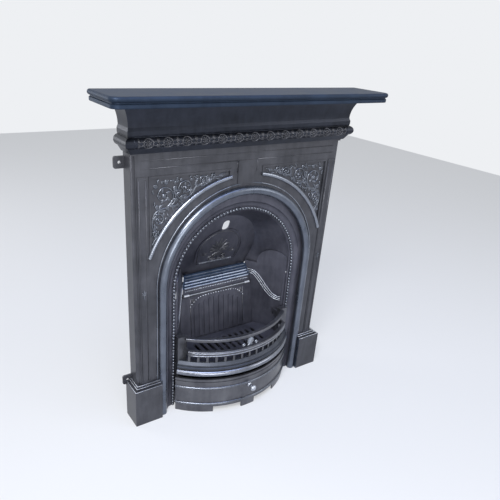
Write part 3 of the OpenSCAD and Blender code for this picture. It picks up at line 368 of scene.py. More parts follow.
# one smooth object on a body, with its normals set outward
def finishedObject(name, verts, faces, material, body, slotName):
    mesh = bpy.data.meshes.new(name)
    mesh.from_pydata([tuple(v) for v in verts], [], faces)
    work = bmesh.new()
    work.from_mesh(mesh)
    bmesh.ops.recalc_face_normals(work, faces=work.faces[:])
    work.to_mesh(mesh)
    work.free()
    for face in mesh.polygons:
        face.use_smooth = True
    mesh.materials.append(material)
    made = bpy.data.objects.new(name, mesh)
    bpy.context.scene.collection.objects.link(made)
    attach(made, body)
    return made


# geometry node trees: each takes a start mesh, some sizes and a finish
def newTree(name, inputs):
    tree = bpy.data.node_groups.new(name, "GeometryNodeTree")
    tree.interface.new_socket("Geometry", in_out="INPUT", socket_type="NodeSocketGeometry")
    for label, kind in inputs:
        tree.interface.new_socket(label, in_out="INPUT", socket_type=kind)
    tree.interface.new_socket("Geometry", in_out="OUTPUT", socket_type="NodeSocketGeometry")
    return tree, node(tree, "NodeGroupInput")


def endTree(tree, shape, finish):
    whole = node(tree, "GeometryNodeRealizeInstances", links={"Geometry": shape})
    painted = node(tree, "GeometryNodeSetMaterial", links={
        "Geometry": whole.outputs["Geometry"], "Material": finish,
    })
    node(tree, "NodeGroupOutput", links={"Geometry": painted.outputs["Geometry"]})


# runs a tree on a start mesh and keeps the result as a plain mesh
def grown(name, tree, values, verts, edges, faces, body, material):
    mesh = bpy.data.meshes.new(name)
    mesh.from_pydata([tuple(v) for v in verts], edges, faces)
    holder = bpy.data.objects.new(name, mesh)
    bpy.context.scene.collection.objects.link(holder)
    change = holder.modifiers.new("grow", "NODES")
    change.node_group = tree
    sockets = {item.name: item.identifier for item in tree.interface.items_tree if item.in_out == "INPUT"}
    for label, value in values.items():
        change[sockets[label]] = value
    change[sockets["Finish"]] = material
    view = bpy.context.evaluated_depsgraph_get()
    plain = bpy.data.meshes.new_from_object(holder.evaluated_get(view), depsgraph=view)
    holder.modifiers.remove(change)
    holder.data = plain
    plain.name = name
    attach(holder, body)
    return holder


# beads: round pearls at an even pitch along the start path
def beadTree():
    tree, given = newTree("beads along a path", [
        ("Pitch", "NodeSocketFloat"), ("Radius", "NodeSocketFloat"), ("Flatten", "NodeSocketFloat"),
        ("Finish", "NodeSocketMaterial"),
    ])
    path = node(tree, "GeometryNodeMeshToCurve", links={"Mesh": given.outputs["Geometry"]})
    spots = node(tree, "GeometryNodeCurveToPoints", {"mode": "LENGTH"}, {
        "Curve": path.outputs["Curve"], "Length": given.outputs["Pitch"],
    })
    pearl = node(tree, "GeometryNodeMeshIcoSphere", {"Subdivisions": 2}, {
        "Radius": given.outputs["Radius"],
    })
    soft = node(tree, "GeometryNodeSetShadeSmooth", links={"Geometry": pearl.outputs["Mesh"]})
    size = node(tree, "ShaderNodeCombineXYZ", {"X": 1.0, "Z": 1.0}, {"Y": given.outputs["Flatten"]})
    placed = node(tree, "GeometryNodeInstanceOnPoints", links={
        "Points": spots.outputs["Points"], "Instance": soft.outputs["Geometry"],
        "Scale": size.outputs["Vector"],
    })
    endTree(tree, placed.outputs["Instances"], given.outputs["Finish"])
    return tree


# row: copies the start mesh at an even pitch along X
def rowTree():
    tree, given = newTree("row of castings", [
        ("Count", "NodeSocketInt"), ("Pitch", "NodeSocketFloat"), ("Start", "NodeSocketFloat"),
        ("Finish", "NodeSocketMaterial"),
    ])
    start = node(tree, "ShaderNodeCombineXYZ", links={"X": given.outputs["Start"]})
    step = node(tree, "ShaderNodeCombineXYZ", links={"X": given.outputs["Pitch"]})
    line = node(tree, "GeometryNodeMeshLine", {"mode": "OFFSET"}, {
        "Count": given.outputs["Count"], "Start Location": start.outputs["Vector"],
        "Offset": step.outputs["Vector"],
    })
    soft = node(tree, "GeometryNodeSetShadeSmooth", links={"Geometry": given.outputs["Geometry"]})
    placed = node(tree, "GeometryNodeInstanceOnPoints", links={
        "Points": line.outputs["Mesh"], "Instance": soft.outputs["Geometry"],
    })
    endTree(tree, placed.outputs["Instances"], given.outputs["Finish"])
    return tree


# rod: a round moulding swept along the start path, closed at both ends
def rodTree():
    tree, given = newTree("round moulding along a path", [
        ("Radius", "NodeSocketFloat"), ("Sides", "NodeSocketInt"), ("Finish", "NodeSocketMaterial"),
    ])
    path = node(tree, "GeometryNodeMeshToCurve", links={"Mesh": given.outputs["Geometry"]})
    section = node(tree, "GeometryNodeCurvePrimitiveCircle", {"mode": "RADIUS"}, {
        "Radius": given.outputs["Radius"], "Resolution": given.outputs["Sides"],
    })
    swept = node(tree, "GeometryNodeCurveToMesh", {"Fill Caps": True}, {
        "Curve": path.outputs["Curve"], "Profile Curve": section.outputs["Curve"],
    })
    soft = node(tree, "GeometryNodeSetShadeSmooth", links={"Geometry": swept.outputs["Mesh"]})
    endTree(tree, soft.outputs["Geometry"], given.outputs["Finish"])
    return tree


# round mouldings along several open paths, as one object
def rods(name, paths, radius, sides, finish, body):
    verts, edges = [], []
    for path in paths:
        first = len(verts)
        verts += path
        edges += [(first + i, first + i + 1) for i in range(len(path) - 1)]
    sizes = {"Radius": radius * mm, "Sides": sides}
    return grown(name, rodOnPath, sizes, verts, edges, [], body, finish)


# pearls along one path of points
def pearls(name, path, pitch, radius, flatten, finish):
    sizes = {"Pitch": pitch * mm, "Radius": radius * mm, "Flatten": flatten}
    edges = [(i, i + 1) for i in range(len(path) - 1)]
    return grown(name, beadsOnPath, sizes, path, edges, [], "root", finish)


rodOnPath = rodTree()
beadsOnPath = beadTree()
rowOfCastings = rowTree()
print("tools ready")


# acanthus scrolls of the two spandrel panels, with sizes in millimetres and turns in degrees
spandrel = {
    "groundForward": 52.0, "relief": 4.3, "springZ": 467.0, "arcR": 364.0,
    "outerX": 325.0, "innerX": 64.0, "topZ": 840.0, "lowZ": 630.0, "stemWide": 3.0, "stemTip": 1.4,
    "leafWide": 4.2, "leafFor": 22.0, "leafTurn": 58.0, "leafSizes": (24, 18, 12), "leafEvery": 6,
    "stemHigh": 0.75, "leafHigh": 0.85, "spare": 1.5, "coilTip": 1.5, "coilHigh": 0.9, "coilEnd": 0.24,
    "eye": 0.22, "petalPitch": 4.4, "petalSize": 0.42, "petalLead": 55.0, "petalHigh": 0.8,
    "petalRing": 0.98, "petalWide": 0.16, "petalLeast": 1.2, "petalCurl": 0.9, "petalTip": 0.6,
    "coilWide": 0.6, "coilFor": 90.0,
    "heartLeaves": 5, "heartRing": 0.3, "heartSize": 0.4, "heartHigh": 0.7,
    "heartTurn": 20, "heartLead": 15, "heartCurl": 30, "heartWide": 0.09, "heartLeast": 1.0,
    "tries": 900, "clear": 4.0, "seedSpare": 3.5, "seedSize": (10, 16), "seedWide": 3.0, "seedCurl": 50,
    "seedHigh": 0.7, "berryR": 1.9, "berryHigh": 0.6, "seedRing": 5.5,
}
# scroll centres: X, height, radius, start angle, turns
scrolls = [
    (283.0, 786.0, 35.0, -100.0, -1.35),
    (213.0, 803.0, 26.0, -20.0, 1.3),
    (301.0, 716.0, 20.0, 60.0, 1.2),
    (158.0, 820.0, 14.5, 170.0, -1.15),
    (312.0, 674.0, 9.5, 120.0, -1.0),
    (120.0, 829.0, 8.0, -30.0, 1.0),
]


# running stem from the foot of the panel to its tip: X, height
stemPath = [
    (322, 640), (314, 655), (305, 668), (318, 690), (321, 712), (314, 735), (294, 747), (268, 751),
    (250, 765), (244, 788), (236, 776), (214, 773), (194, 782), (182, 800), (174, 806), (160, 803),
    (143, 808), (134, 822), (118, 820), (104, 826), (90, 833), (76, 835),
]


# smooth line through the points, with a few more between each two
def throughPoints(points, between):
    smooth = []
    for i in range(len(points) - 1):
        before, here = points[max(i - 1, 0)], points[i]
        there, after = points[i + 1], points[min(i + 2, len(points) - 1)]
        for k in range(between):
            t = k / between
            smooth.append(tuple(0.5 * (
                2 * here[d] + (there[d] - before[d]) * t
                + (2 * before[d] - 5 * here[d] + 4 * there[d] - after[d]) * t * t
                + (3 * here[d] - before[d] - 3 * there[d] + after[d]) * t ** 3) for d in (0, 1)))
    smooth.append(points[-1])
    return smooth


# point at a distance from (u, v) towards an angle in degrees
def offset(u, v, angle, size):
    return u + size * math.cos(math.radians(angle)), v + size * math.sin(math.radians(angle))


def inPanel(u, v, spare):
    return (spandrel["innerX"] + spare < u < spandrel["outerX"] - spare
            and v < spandrel["topZ"] - spare
            and math.hypot(u, v - spandrel["springZ"]) > spandrel["arcR"] + spare)


# running stem with a pair of leaves at an even pitch
def addRunningStem(parts, onFace):
    d = spandrel
    smooth = throughPoints(stemPath, 4)
    stem(parts, onFace, smooth, d["stemWide"], d["stemTip"], d["stemHigh"] * d["relief"])
    for i in range(5, len(smooth) - 4, d["leafEvery"]):
        dx, dz = smooth[i + 1][0] - smooth[i][0], smooth[i + 1][1] - smooth[i][1]
        along = math.degrees(math.atan2(dz, dx))
        for turn in (d["leafTurn"], -d["leafTurn"]):
            for size in d["leafSizes"]:
                if inPanel(*offset(*smooth[i], along + turn, size), d["spare"]):
                    leaf(parts, onFace, *smooth[i], along + turn, size, d["leafWide"] * size / d["leafFor"],
                         -turn, d["leafHigh"] * d["relief"])
                    break


# scroll with an eye, petals round it and small leaves inside
def addScroll(parts, onFace, cu, cv, r, a0, turns):
    d = spandrel
    h = d["relief"]
    coil = spiral(cu, cv, r, d["coilEnd"] * r, a0, turns)
    wide = d["stemWide"] * (d["coilWide"] + r / d["coilFor"])
    stem(parts, onFace, coil, wide, d["coilTip"], d["coilHigh"] * h)
    boss(parts, onFace, cu, cv, d["eye"] * r, h)
    petals = max(5, int(r / d["petalPitch"]))
    size = d["petalSize"] * r
    lead = d["petalLead"] if turns > 0 else -d["petalLead"]
    for k in range(petals):
        a = a0 + 360 * k / petals
        u, v = offset(cu, cv, a, d["petalRing"] * r)
        if inPanel(*offset(u, v, a + lead * d["petalTip"], size), d["spare"]):
            leaf(parts, onFace, u, v, a + lead, size, d["petalWide"] * r + d["petalLeast"],
                 -d["petalCurl"] * lead, d["petalHigh"] * h)
    for k in range(d["heartLeaves"]):
        a = a0 + 360 / d["heartLeaves"] * k + d["heartTurn"]
        u, v = offset(cu, cv, a, d["heartRing"] * r)
        leaf(parts, onFace, u, v, a + d["heartLead"], d["heartSize"] * r,
             d["heartWide"] * r + d["heartLeast"], d["heartCurl"], d["heartHigh"] * h)


# small leaves and berries between the scrolls
def addBerries(parts, onFace, chance):
    d = spandrel
    h = d["relief"]
    filled = [scroll[:3] for scroll in scrolls]
    for _ in range(d["tries"]):
        u = chance.uniform(d["innerX"], d["outerX"])
        v = chance.uniform(d["lowZ"], d["topZ"])
        taken = any(math.hypot(u - a, v - b) < c + d["clear"] for a, b, c in filled)
        if taken or not inPanel(u, v, d["seedSpare"]):
            continue
        a = chance.uniform(0, 360)
        size = chance.uniform(*d["seedSize"])
        if inPanel(*offset(u, v, a, size), d["spare"]):
            curl = chance.choice((-d["seedCurl"], d["seedCurl"]))
            leaf(parts, onFace, u, v, a, size, d["seedWide"], curl, d["seedHigh"] * h)
            boss(parts, onFace, u, v, d["berryR"], d["berryHigh"] * h, 8)
            filled.append((u, v, d["seedRing"]))


def makeSpandrel(name, side):
    chance = random.Random(41)
    parts = ([], [])

    def onFace(u, v, up):
        return place(side * u, spandrel["groundForward"] + up, v)

    addRunningStem(parts, onFace)
    for scroll in scrolls:
        addScroll(parts, onFace, *scroll)
    addBerries(parts, onFace, chance)
    return finishedObject(name, *parts, reliefSheenIron, "root", "cast_surround")


makeSpandrel("scroll_panel_left", -1)
makeSpandrel("scroll_panel_right", 1)
print("scroll panels made")


# arc of points on the front, centred on the middle line, between two angles in radians
def archPoints(side, r, forward, springZ, a0, a1, steps):
    turns = [a0 + (a1 - a0) * k / steps for k in range(steps + 1)]
    return [place(side * r * math.cos(a), forward, springZ + r * math.sin(a)) for a in turns]


# beads round the opening
beads = {
    "ringR": 241.0, "forward": 40.2, "springZ": 467.0, "footZ": 6.0,
    "pitch": 12.0, "beadR": 5.3, "flatten": 0.85,
}


def makeBeads():
    b = beads
    path = [place(-b["ringR"], b["forward"], b["footZ"])]
    path += archPoints(1, b["ringR"], b["forward"], b["springZ"], math.pi, 0.0, 96)
    path.append(place(b["ringR"], b["forward"], b["footZ"]))
    return pearls("bead_border", path, b["pitch"], b["beadR"], b["flatten"], reliefSheenIron)


makeBeads()


# half round along the foot of each spandrel panel
arcBead = {"r": 6.5, "ringR": 358.0, "forward": 55.6, "springZ": 467.0, "outerX": 332.0, "innerX": 57.0}


def makeArcBeads():
    b = arcBead
    a0 = math.acos(b["outerX"] / b["ringR"])
    a1 = math.acos(b["innerX"] / b["ringR"])
    paths = [archPoints(side, b["ringR"], b["forward"], b["springZ"], a0, a1, 40) for side in (-1, 1)]
    return rods("arc_beads", paths, b["r"], 20, filletHighlightIron, "root")


makeArcBeads()


# thin fillet outside the large half round
filletLine = {"r": 1.7, "ringR": 308.5, "forward": 56.7, "springZ": 488.0, "innerX": 60.0, "lowZ": 164.0}


def makeFilletLines():
    b = filletLine
    a1 = math.acos(b["innerX"] / b["ringR"])
    paths = []
    for side in (-1, 1):
        path = [place(side * b["ringR"], b["forward"], b["lowZ"])]
        paths.append(path + archPoints(side, b["ringR"], b["forward"], b["springZ"], 0.0, a1, 60))
    return rods("fillet_lines", paths, b["r"], 12, filletHighlightIron, "root")


makeFilletLines()


# ridges along the curved top of each cheek; y runs back from the wall plane
cheek = {
    "r": 1.7, "ridges": 3, "pitch": 7.0, "first": 1.7, "proud": 2.4,
    "lowZ": 328.0, "highZ": 415.0, "y0": -20.0, "y1": 75.0,
    "startY": -28.0, "length": 118.0, "steps": 28, "mouthX": 201.6, "splay": 0.68,
}


def ogeeZ(y):
    t = min(1.0, max(0.0, (y - cheek["y0"]) / (cheek["y1"] - cheek["y0"])))
    return cheek["lowZ"] + (cheek["highZ"] - cheek["lowZ"]) * (1 - math.cos(math.pi * t)) / 2


def makeCheekLines():
    c = cheek
    paths = []
    for side in (-1, 1):
        for i in range(c["ridges"]):
            path = []
            for k in range(c["steps"] + 1):
                y = c["startY"] + c["length"] * k / c["steps"]
                slope = ogeeZ(y + 0.5) - ogeeZ(y - 0.5)
                drop = i * c["pitch"] + c["first"]
                size = math.sqrt(1 + slope * slope)
                y2, z2 = y + drop * slope / size, ogeeZ(y) - drop / size
                path.append(place(side * (c["mouthX"] - c["splay"] * y2 - c["proud"]), -y2, z2))
            paths.append(path)
    return rods("cheek_ridges", paths, c["r"], 10, edgeGlintIron, "root")


makeCheekLines()


# reeds, ledge and bead row between the fireback and the throat; y runs back from the wall plane
throat = {
    "halfW": 192.0, "splay": 0.68, "reedR": 3.6, "reeds": 5, "lowReeds": 3, "thinner": 0.8, "sunk": 1.6,
    "y0": 80.5, "z0": 387.0, "y1": 99.5, "z1": 435.0,
    "ledgeHalfW": 138.0, "ledgeY": 74.6, "ledgeZ": 364.5, "ledgeR": 2.6, "ledgeEndR": 4.2,
    "ledgeEndX": (120, 131, 141),
    "beadHalfW": 133.0, "beadY": 78.8, "beadZ": 380.5, "beadPitch": 7.2, "beadR": 2.7, "beadFlatten": 0.9,
}


def makeThroat():
    t = throat
    paths = []
    for k in range(t["reeds"]):
        s = (k + 0.5) / t["reeds"]
        y, z = t["y0"] + (t["y1"] - t["y0"]) * s - t["sunk"], t["z0"] + (t["z1"] - t["z0"]) * s
        half = t["halfW"] - t["splay"] * y
        paths.append([place(x, -y, z) for x in (-half, 0, half)])
    low, high = paths[:t["lowReeds"]], paths[t["lowReeds"]:]
    rods("throat_reeds_low", low, t["reedR"], 12, reedHighlightIron, "root")
    rods("throat_reeds_high", high, t["reedR"] - t["thinner"], 12, roundHighlightIron, "root")
    line = [place(x, -t["ledgeY"], t["ledgeZ"]) for x in (-t["ledgeHalfW"], 0, t["ledgeHalfW"])]
    rods("fireback_ledge", [line], t["ledgeR"], 12, edgeGlintIron, "root")
    ends = [[place(side * x, -t["ledgeY"], t["ledgeZ"]) for x in t["ledgeEndX"]] for side in (-1, 1)]
    rods("ledge_ends", ends, t["ledgeEndR"], 12, ledgeGlintIron, "root")
    row = [place(t["beadHalfW"] * (k / 10 - 1), -t["beadY"], t["beadZ"]) for k in range(21)]
    return pearls("throat_beads", row, t["beadPitch"], t["beadR"], t["beadFlatten"], edgeGlintIron)


makeThroat()
print("mouldings made")


# rosettes and fillets on the cornice's roll; s runs round the roll
roll = {
    "forward": 68.0, "z": 941.0, "r": 15.0, "count": 13, "pitch": 57.0, "ringR": 13.8, "relief": 2.2,
    "ringWide": 1.9, "eyeR": 2.8, "eyeHigh": 1.3,
    "petals": 8, "petalR": 3.2, "petalSize": 7.6, "petalWide": 1.9,
    "scrollU": 0.5, "scrollS": 3.0, "scrollTurn": 50, "scrollSize": 15, "scrollCurl": 105,
    "scrollWide": (1.6, 1.0),
    "husk": 13.5, "huskWide": 3.0, "huskU": 1.0, "huskS": 1.5, "huskTurn": 12, "huskCurl": 20, "budR": 2.2,
    "filletS": 20.5, "filletX": (-383, -190, 0, 190, 383), "filletWide": 1.1, "filletHigh": 1.4,
    "endX": 381, "endS": (-19, -9, 0, 9, 19), "endWide": 1.6, "endHigh": 1.8,
}


def onRoll(u, s, up):
    a = s / roll["r"]
    r = roll["r"] + up
    return place(u, roll["forward"] + r * math.cos(a), roll["z"] + r * math.sin(a))


def addRosette(parts):
    d = roll
    h = d["relief"]
    ring = spiral(0, 0, d["ringR"], d["ringR"], 0, 1, 28)
    sweepRelief(parts, onRoll, ring, [d["ringWide"]] * len(ring), [h] * len(ring), roundStem)
    boss(parts, onRoll, 0, 0, d["eyeR"], d["eyeHigh"] * h)
    for k in range(d["petals"]):
        a = 360 / d["petals"] * (k + 0.5)
        leaf(parts, onRoll, *offset(0, 0, a, d["petalR"]), a, d["petalSize"], d["petalWide"], 0, h)


# paired scrolls and husks between two rosettes
def addLinks(parts):
    d = roll
    h, half = d["relief"], d["pitch"] / 2
    for side in (-1, 1):
        for up in (-1, 1):
            turn = 90 - side * 90 + up * side * d["scrollTurn"]
            coil = bent(side * (d["ringR"] + d["scrollU"]), up * d["scrollS"], turn, d["scrollSize"],
                        -up * side * d["scrollCurl"])
            stem(parts, onRoll, coil, *d["scrollWide"], 0.9 * h)
            turn = up * 90 + side * up * d["huskTurn"]
            leaf(parts, onRoll, side * (half - d["huskU"]), up * d["huskS"], turn, d["husk"], d["huskWide"],
                 -side * up * d["huskCurl"], h)
    for x in (-half, half):
        boss(parts, onRoll, x, 0, d["budR"], h, 10)


def makeRoll():
    d = roll
    parts, lines = ([], []), ([], [])
    addRosette(parts)
    addLinks(parts)
    row = grown("cornice_rosettes", rowOfCastings, {
        "Count": d["count"], "Pitch": d["pitch"] * mm, "Start": -(d["count"] - 1) / 2 * d["pitch"] * mm,
    }, parts[0], [], parts[1], "root", polishedIron)
    for s in (-d["filletS"], d["filletS"]):
        spine = [(x, s) for x in d["filletX"]]
        sweepRelief(lines, onRoll, spine, [d["filletWide"]] * 5, [d["filletHigh"]] * 5, roundStem)
    for x in (-d["endX"], d["endX"]):
        spine = [(x, s) for s in d["endS"]]
        sweepRelief(lines, onRoll, spine, [d["endWide"]] * 5, [d["endHigh"]] * 5, roundStem)
    finishedObject("cornice_roll_fillets", *lines, corniceShadeIron, "root", "cast_surround")
    return row


makeRoll()
print("cornice ornament made")


# fine raised lines on the frieze, the key and the pilaster strips
frameLines = {
    "faceForward": 55.0, "stripForward": 57.0, "wide": 1.3, "high": 1.5, "upperZ": 890.0, "lowerZ": 868.0,
    "endX": 352.0, "keyX": 37.0, "keyZ": 832, "stripX": (341, 362), "stripZ": (160, 500, 838),
}


def makeFrameLines():
    parts = ([], [])
    f = frameLines

    def line(spine, forward):
        n = len(spine)
        sweepRelief(parts, lambda u, v, up: place(u, forward + up, v), spine,
                    [f["wide"]] * n, [f["high"]] * n, roundStem)

    line([(x, f["upperZ"]) for x in (-f["endX"], 0, f["endX"])], f["faceForward"])
    for side in (-1, 1):
        corner = (side * f["keyX"], f["lowerZ"])
        line([corner, (side * f["endX"], f["lowerZ"])], f["faceForward"])
        line([corner, (side * f["keyX"], f["keyZ"])], f["faceForward"])
        for x in f["stripX"]:
            line([(side * x, z) for z in f["stripZ"]], f["stripForward"])
    return finishedObject("frame_lines", *parts, polishedIron, "root", "cast_surround")


makeFrameLines()


# small leaf finial on each pilaster strip; each leaf is its angle, length, half width and curl
finial = {
    "x": 351.5, "z": 483.0, "forward": 57.0, "relief": 2.6, "budR": 2.6, "foot": -1,
    "leaves": (
        (90, 17, 3.0, 0), (55, 12, 2.4, 12), (125, 12, 2.4, -12), (20, 8, 1.9, 12), (160, 8, 1.9, -12),
    ),
    "drop": (-90, 15, 2.6, 0),
}


def makeFinials():
    parts = ([], [])
    d = finial
    for side in (-1, 1):
        def onStrip(u, v, up):
            return place(side * d["x"] + u, d["forward"] + up, d["z"] + v)

        for spray in d["leaves"]:
            leaf(parts, onStrip, 0, 0, *spray, d["relief"])
        leaf(parts, onStrip, 0, d["foot"], *d["drop"], d["relief"])
        boss(parts, onStrip, 0, d["foot"], d["budR"], d["relief"], 10)
    return finishedObject("strip_finials", *parts, reliefSheenIron, "root", "cast_surround")


makeFinials()


# nosings on the ledges of the plinths, near white as a painted glint
plinthEdges = {
    "innerX": 301.0, "r": 2.1, "proud": 0.4, "sides": 10,
    "steps": ((399.0, 80.0, 140.0), (390.0, 70.1, 145.0), (385.5, 63.6, 150.0)),
}


def makePlinthEdges():
    verts, faces = [], []
    r, sides = plinthEdges["r"], plinthEdges["sides"]
    # which way the round edge is set off at each corner: forward, both, outward
    ways = ((0.0, 1.0), (1.0, 1.0), (1.0, 0.0))
    for side in (-1, 1):
        for x1, forward, z in plinthEdges["steps"]:
            corners = [(plinthEdges["innerX"], forward - r), (x1 - r, forward - r), (x1 - r, 0.0)]
            first = len(verts)
            for (x, f), (outX, outF) in zip(corners, ways):
                for k in range(sides):
                    a = 2 * math.pi * k / sides
                    out, up = r * math.cos(a), r * math.sin(a)
                    height = z - r + plinthEdges["proud"] + up
                    verts.append(place(side * (x + outX * out), f + outF * out, height))
            joinRings(faces, first, sides, len(corners))
            faces.append(tuple(first + k for k in reversed(range(sides))))
            faces.append(tuple(first + (len(corners) - 1) * sides + k for k in range(sides)))
    return finishedObject("plinth_nosings", verts, faces, ledgeGlintIron, "root", "cast_surround")


makePlinthEdges()
print("frame lines made")


# ornament of the register flap: u across, v up its leaning face, sizes in millimetres
flap = {
    "lean": 21.3, "y": 103.32, "z": 467.0, "relief": 3.0,
    "ovalR": 84.0, "ovalHigh": 57.0, "ovalFoot": 3, "ovalIn": 0.93, "lineWide": 1.4, "lineHigh": 1.6,
    "shellV": 50, "shellTurn": 19, "shellSize": 62, "shellLess": 6, "shellWide": 5.6, "shellThin": 0.3,
    "shellCurl": 7, "innerSize": 36, "innerWide": 2.8, "innerHigh": 0.8,
    "dropV": 44, "dropTurn": 27, "dropSize": 36, "dropLess": 4, "dropWide": 4.4, "dropCurl": 9,
    "coilU": 27, "coilV": 20, "coilR": (12, 2.6), "coilTurns": 1.3, "coilWide": (2.4, 1.3), "coilEye": 2.8,
    "armU": 4, "armV": 12, "armTurn": 75, "armSize": 26, "armCurl": 40, "armWide": (2.4, 1.8),
    "sideU": 56, "sideV": 34, "sideWide": 3.2, "sideHigh": 0.9,
    "sideLeaves": ((80, 20), (40, 16), (120, 15)),
    "bossV": 47, "bossR": 6.5,
    "teeth": 22, "teethHalfW": 66, "teethV": -3.5, "toothLong": 9.0, "toothWide": 2.4, "toothHigh": 3.6,
}


def onFlap(u, v, up):
    lean = math.radians(flap["lean"])
    y = flap["y"] - v * math.sin(lean) - up * math.cos(lean)
    z = flap["z"] + v * math.cos(lean) - up * math.sin(lean)
    return place(u, -y, z)


# fine line inside the oval rim
def addOvalLine(parts):
    d = flap
    r = d["ovalR"]
    spine = [(-r * d["ovalIn"], d["ovalFoot"])]
    for k in range(37):
        u, v = offset(0, d["ovalHigh"], 180 - 180 * k / 36, r)
        spine.append((u, max(v, d["ovalFoot"])))
    spine.append((r * d["ovalIn"], d["ovalFoot"]))
    n = len(spine)
    sweepRelief(parts, onFlap, spine, [d["lineWide"]] * n, [d["lineHigh"]] * n, roundStem)


# shell of leaves, spread to both sides of straight up and straight down
def addShell(parts):
    d = flap
    h = d["relief"]
    for k in range(-4, 5):
        size = d["shellSize"] - d["shellLess"] * abs(k)
        leaf(parts, onFlap, 0, d["shellV"], 90 + k * d["shellTurn"], size,
             d["shellWide"] - d["shellThin"] * abs(k), k * d["shellCurl"], h)
    for k in range(8):
        a = 90 + (k - 3.5) * d["shellTurn"]
        leaf(parts, onFlap, 0, d["shellV"], a, d["innerSize"], d["innerWide"], 0, d["innerHigh"] * h)
    for k in range(-2, 3):
        leaf(parts, onFlap, 0, d["dropV"], -90 + k * d["dropTurn"], d["dropSize"] - d["dropLess"] * abs(k),
             d["dropWide"], k * d["dropCurl"], h)


# scroll, arm and side leaves on each side, and the boss in the middle
def addFlapScrolls(parts):
    d = flap
    h = d["relief"]
    for side in (-1, 1):
        coil = spiral(side * d["coilU"], d["coilV"], *d["coilR"], -90, side * d["coilTurns"])
        stem(parts, onFlap, coil, *d["coilWide"], h)
        boss(parts, onFlap, side * d["coilU"], d["coilV"], d["coilEye"], h)
        arm = bent(side * d["armU"], d["armV"], -90 + side * d["armTurn"], d["armSize"], side * d["armCurl"])
        stem(parts, onFlap, arm, *d["armWide"], h)
        for a, size in d["sideLeaves"]:
            leaf(parts, onFlap, side * d["sideU"], d["sideV"], 90 + side * (a - 90), size, d["sideWide"], 0,
                 d["sideHigh"] * h)
    boss(parts, onFlap, 0, d["bossV"], d["bossR"], h)


def makeFlapOrnament():
    parts, teeth = ([], []), ([], [])
    addOvalLine(parts)
    addShell(parts)
    addFlapScrolls(parts)
    finishedObject("flap_ornament", *parts, frontIron, "flap", "cast_insert")
    # little teeth along the foot of the oval
    d = flap
    for k in range(d["teeth"]):
        u = -d["teethHalfW"] + 2 * d["teethHalfW"] * k / (d["teeth"] - 1)
        leaf(teeth, onFlap, u, d["teethV"], 90, d["toothLong"], d["toothWide"], 0, d["toothHigh"])
    return finishedObject("flap_teeth", *teeth, edgeGlintIron, "flap", "cast_insert")


makeFlapOrnament()
print("flap ornament made")


# lines, corner leaves and bead arch on the leaning fireback; y runs back from the wall plane
back = {
    "y": 58.0, "z": 190.0, "lean": 6.56, "relief": 2.4, "halfW": 114.0, "topZ": 350.0, "midZ": 280,
    "footZ": 200.0, "archDrop": 34, "archPower": 5, "archUp": 1, "lineWide": 1.3, "lineLess": 0.6,
    "leafIn": 5, "leafDown": 4, "leafWide": 3.0, "leaves": ((0, 26), (-28, 20), (28, 18)),
    "beadPitch": 10.5, "beadR": 2.6, "beadFlatten": 0.8, "beadUp": 0.8,
}


def onBack(u, v, up):
    lean = math.tan(math.radians(back["lean"]))
    return place(u, -(back["y"] + lean * (v - back["z"])) + up, v)


def makeFireback():
    parts = ([], [])
    d = back
    w, h = d["halfW"], d["relief"]
    for side in (-1, 1):
        spine = [(side * w, z) for z in (d["footZ"], d["midZ"], d["topZ"])]
        sweepRelief(parts, onBack, spine, [d["lineWide"]] * 3, [h - d["lineLess"]] * 3, roundStem)
        # leaves in each upper corner, towards the middle and down
        base = 225 if side > 0 else -45
        for a, size in d["leaves"]:
            leaf(parts, onBack, side * (w - d["leafIn"]), d["topZ"] - d["leafDown"], base + a, size,
                 d["leafWide"], 0, h)
    finishedObject("fireback_lines", *parts, frontIron, "root", "cast_insert")
    row = []
    for k in range(-16, 17):
        v = d["topZ"] - d["archDrop"] * abs(k / 16) ** d["archPower"] + d["archUp"]
        row.append(onBack(w * k / 16, v, d["beadUp"]))
    return pearls("fireback_beads", row, d["beadPitch"], d["beadR"], d["beadFlatten"], edgeGlintIron)


makeFireback()
print("fireback made")


# fillets and shell on the bowed fire front; u runs round the bow
front = {
    "railR": 330.0, "shellR": 319.0, "sunk": 0.4, "shellSunk": 1,
    "filletV": (234.0, 243.5), "filletHalfW": 222, "filletWide": 0.9, "filletHigh": 1.2,
    "shellV": 249, "shellTurn": 13, "shellStep": 2.6, "shellSize": 33, "shellLess": 1.2, "shellWide": 3.2,
    "shellCurl": 2, "shellHigh": 3.2,
    "coilU": 25, "coilV": 256, "coilR": (6.4, 1.8), "coilTurns": 1.2,
    "coilWide": (1.9, 1.2), "coilHigh": 3.0,
}


def onBow(radius):
    def onFace(u, v, up):
        a = u / radius
        r = radius + up
        return place(r * math.sin(a), r * math.cos(a) - bowAxis, v)
    return onFace


def makeFireFront():
    parts = ([], [])
    d = front
    face = onBow(d["railR"] - d["sunk"])
    n = 33
    # two fine fillets on the second rail
    for v in d["filletV"]:
        spine = [(-d["filletHalfW"] + 2 * d["filletHalfW"] * k / (n - 1), v) for k in range(n)]
        sweepRelief(parts, face, spine, [d["filletWide"]] * n, [d["filletHigh"]] * n, roundStem)
    # fluted shell over the middle bars, between two scrolls
    shell = onBow(d["shellR"] - d["shellSunk"])
    for k in range(-4, 5):
        leaf(parts, shell, k * d["shellStep"], d["shellV"], 90 + k * d["shellTurn"],
             d["shellSize"] - d["shellLess"] * abs(k), d["shellWide"], k * d["shellCurl"], d["shellHigh"])
    for side in (-1, 1):
        coil = spiral(side * d["coilU"], d["coilV"], *d["coilR"], -90, side * d["coilTurns"], 18)
        stem(parts, shell, coil, *d["coilWide"], d["coilHigh"])
    return finishedObject("fire_front_ornament", *parts, edgeGlintIron, "front", "cast_front")


makeFireFront()
print("fire front ornament made")


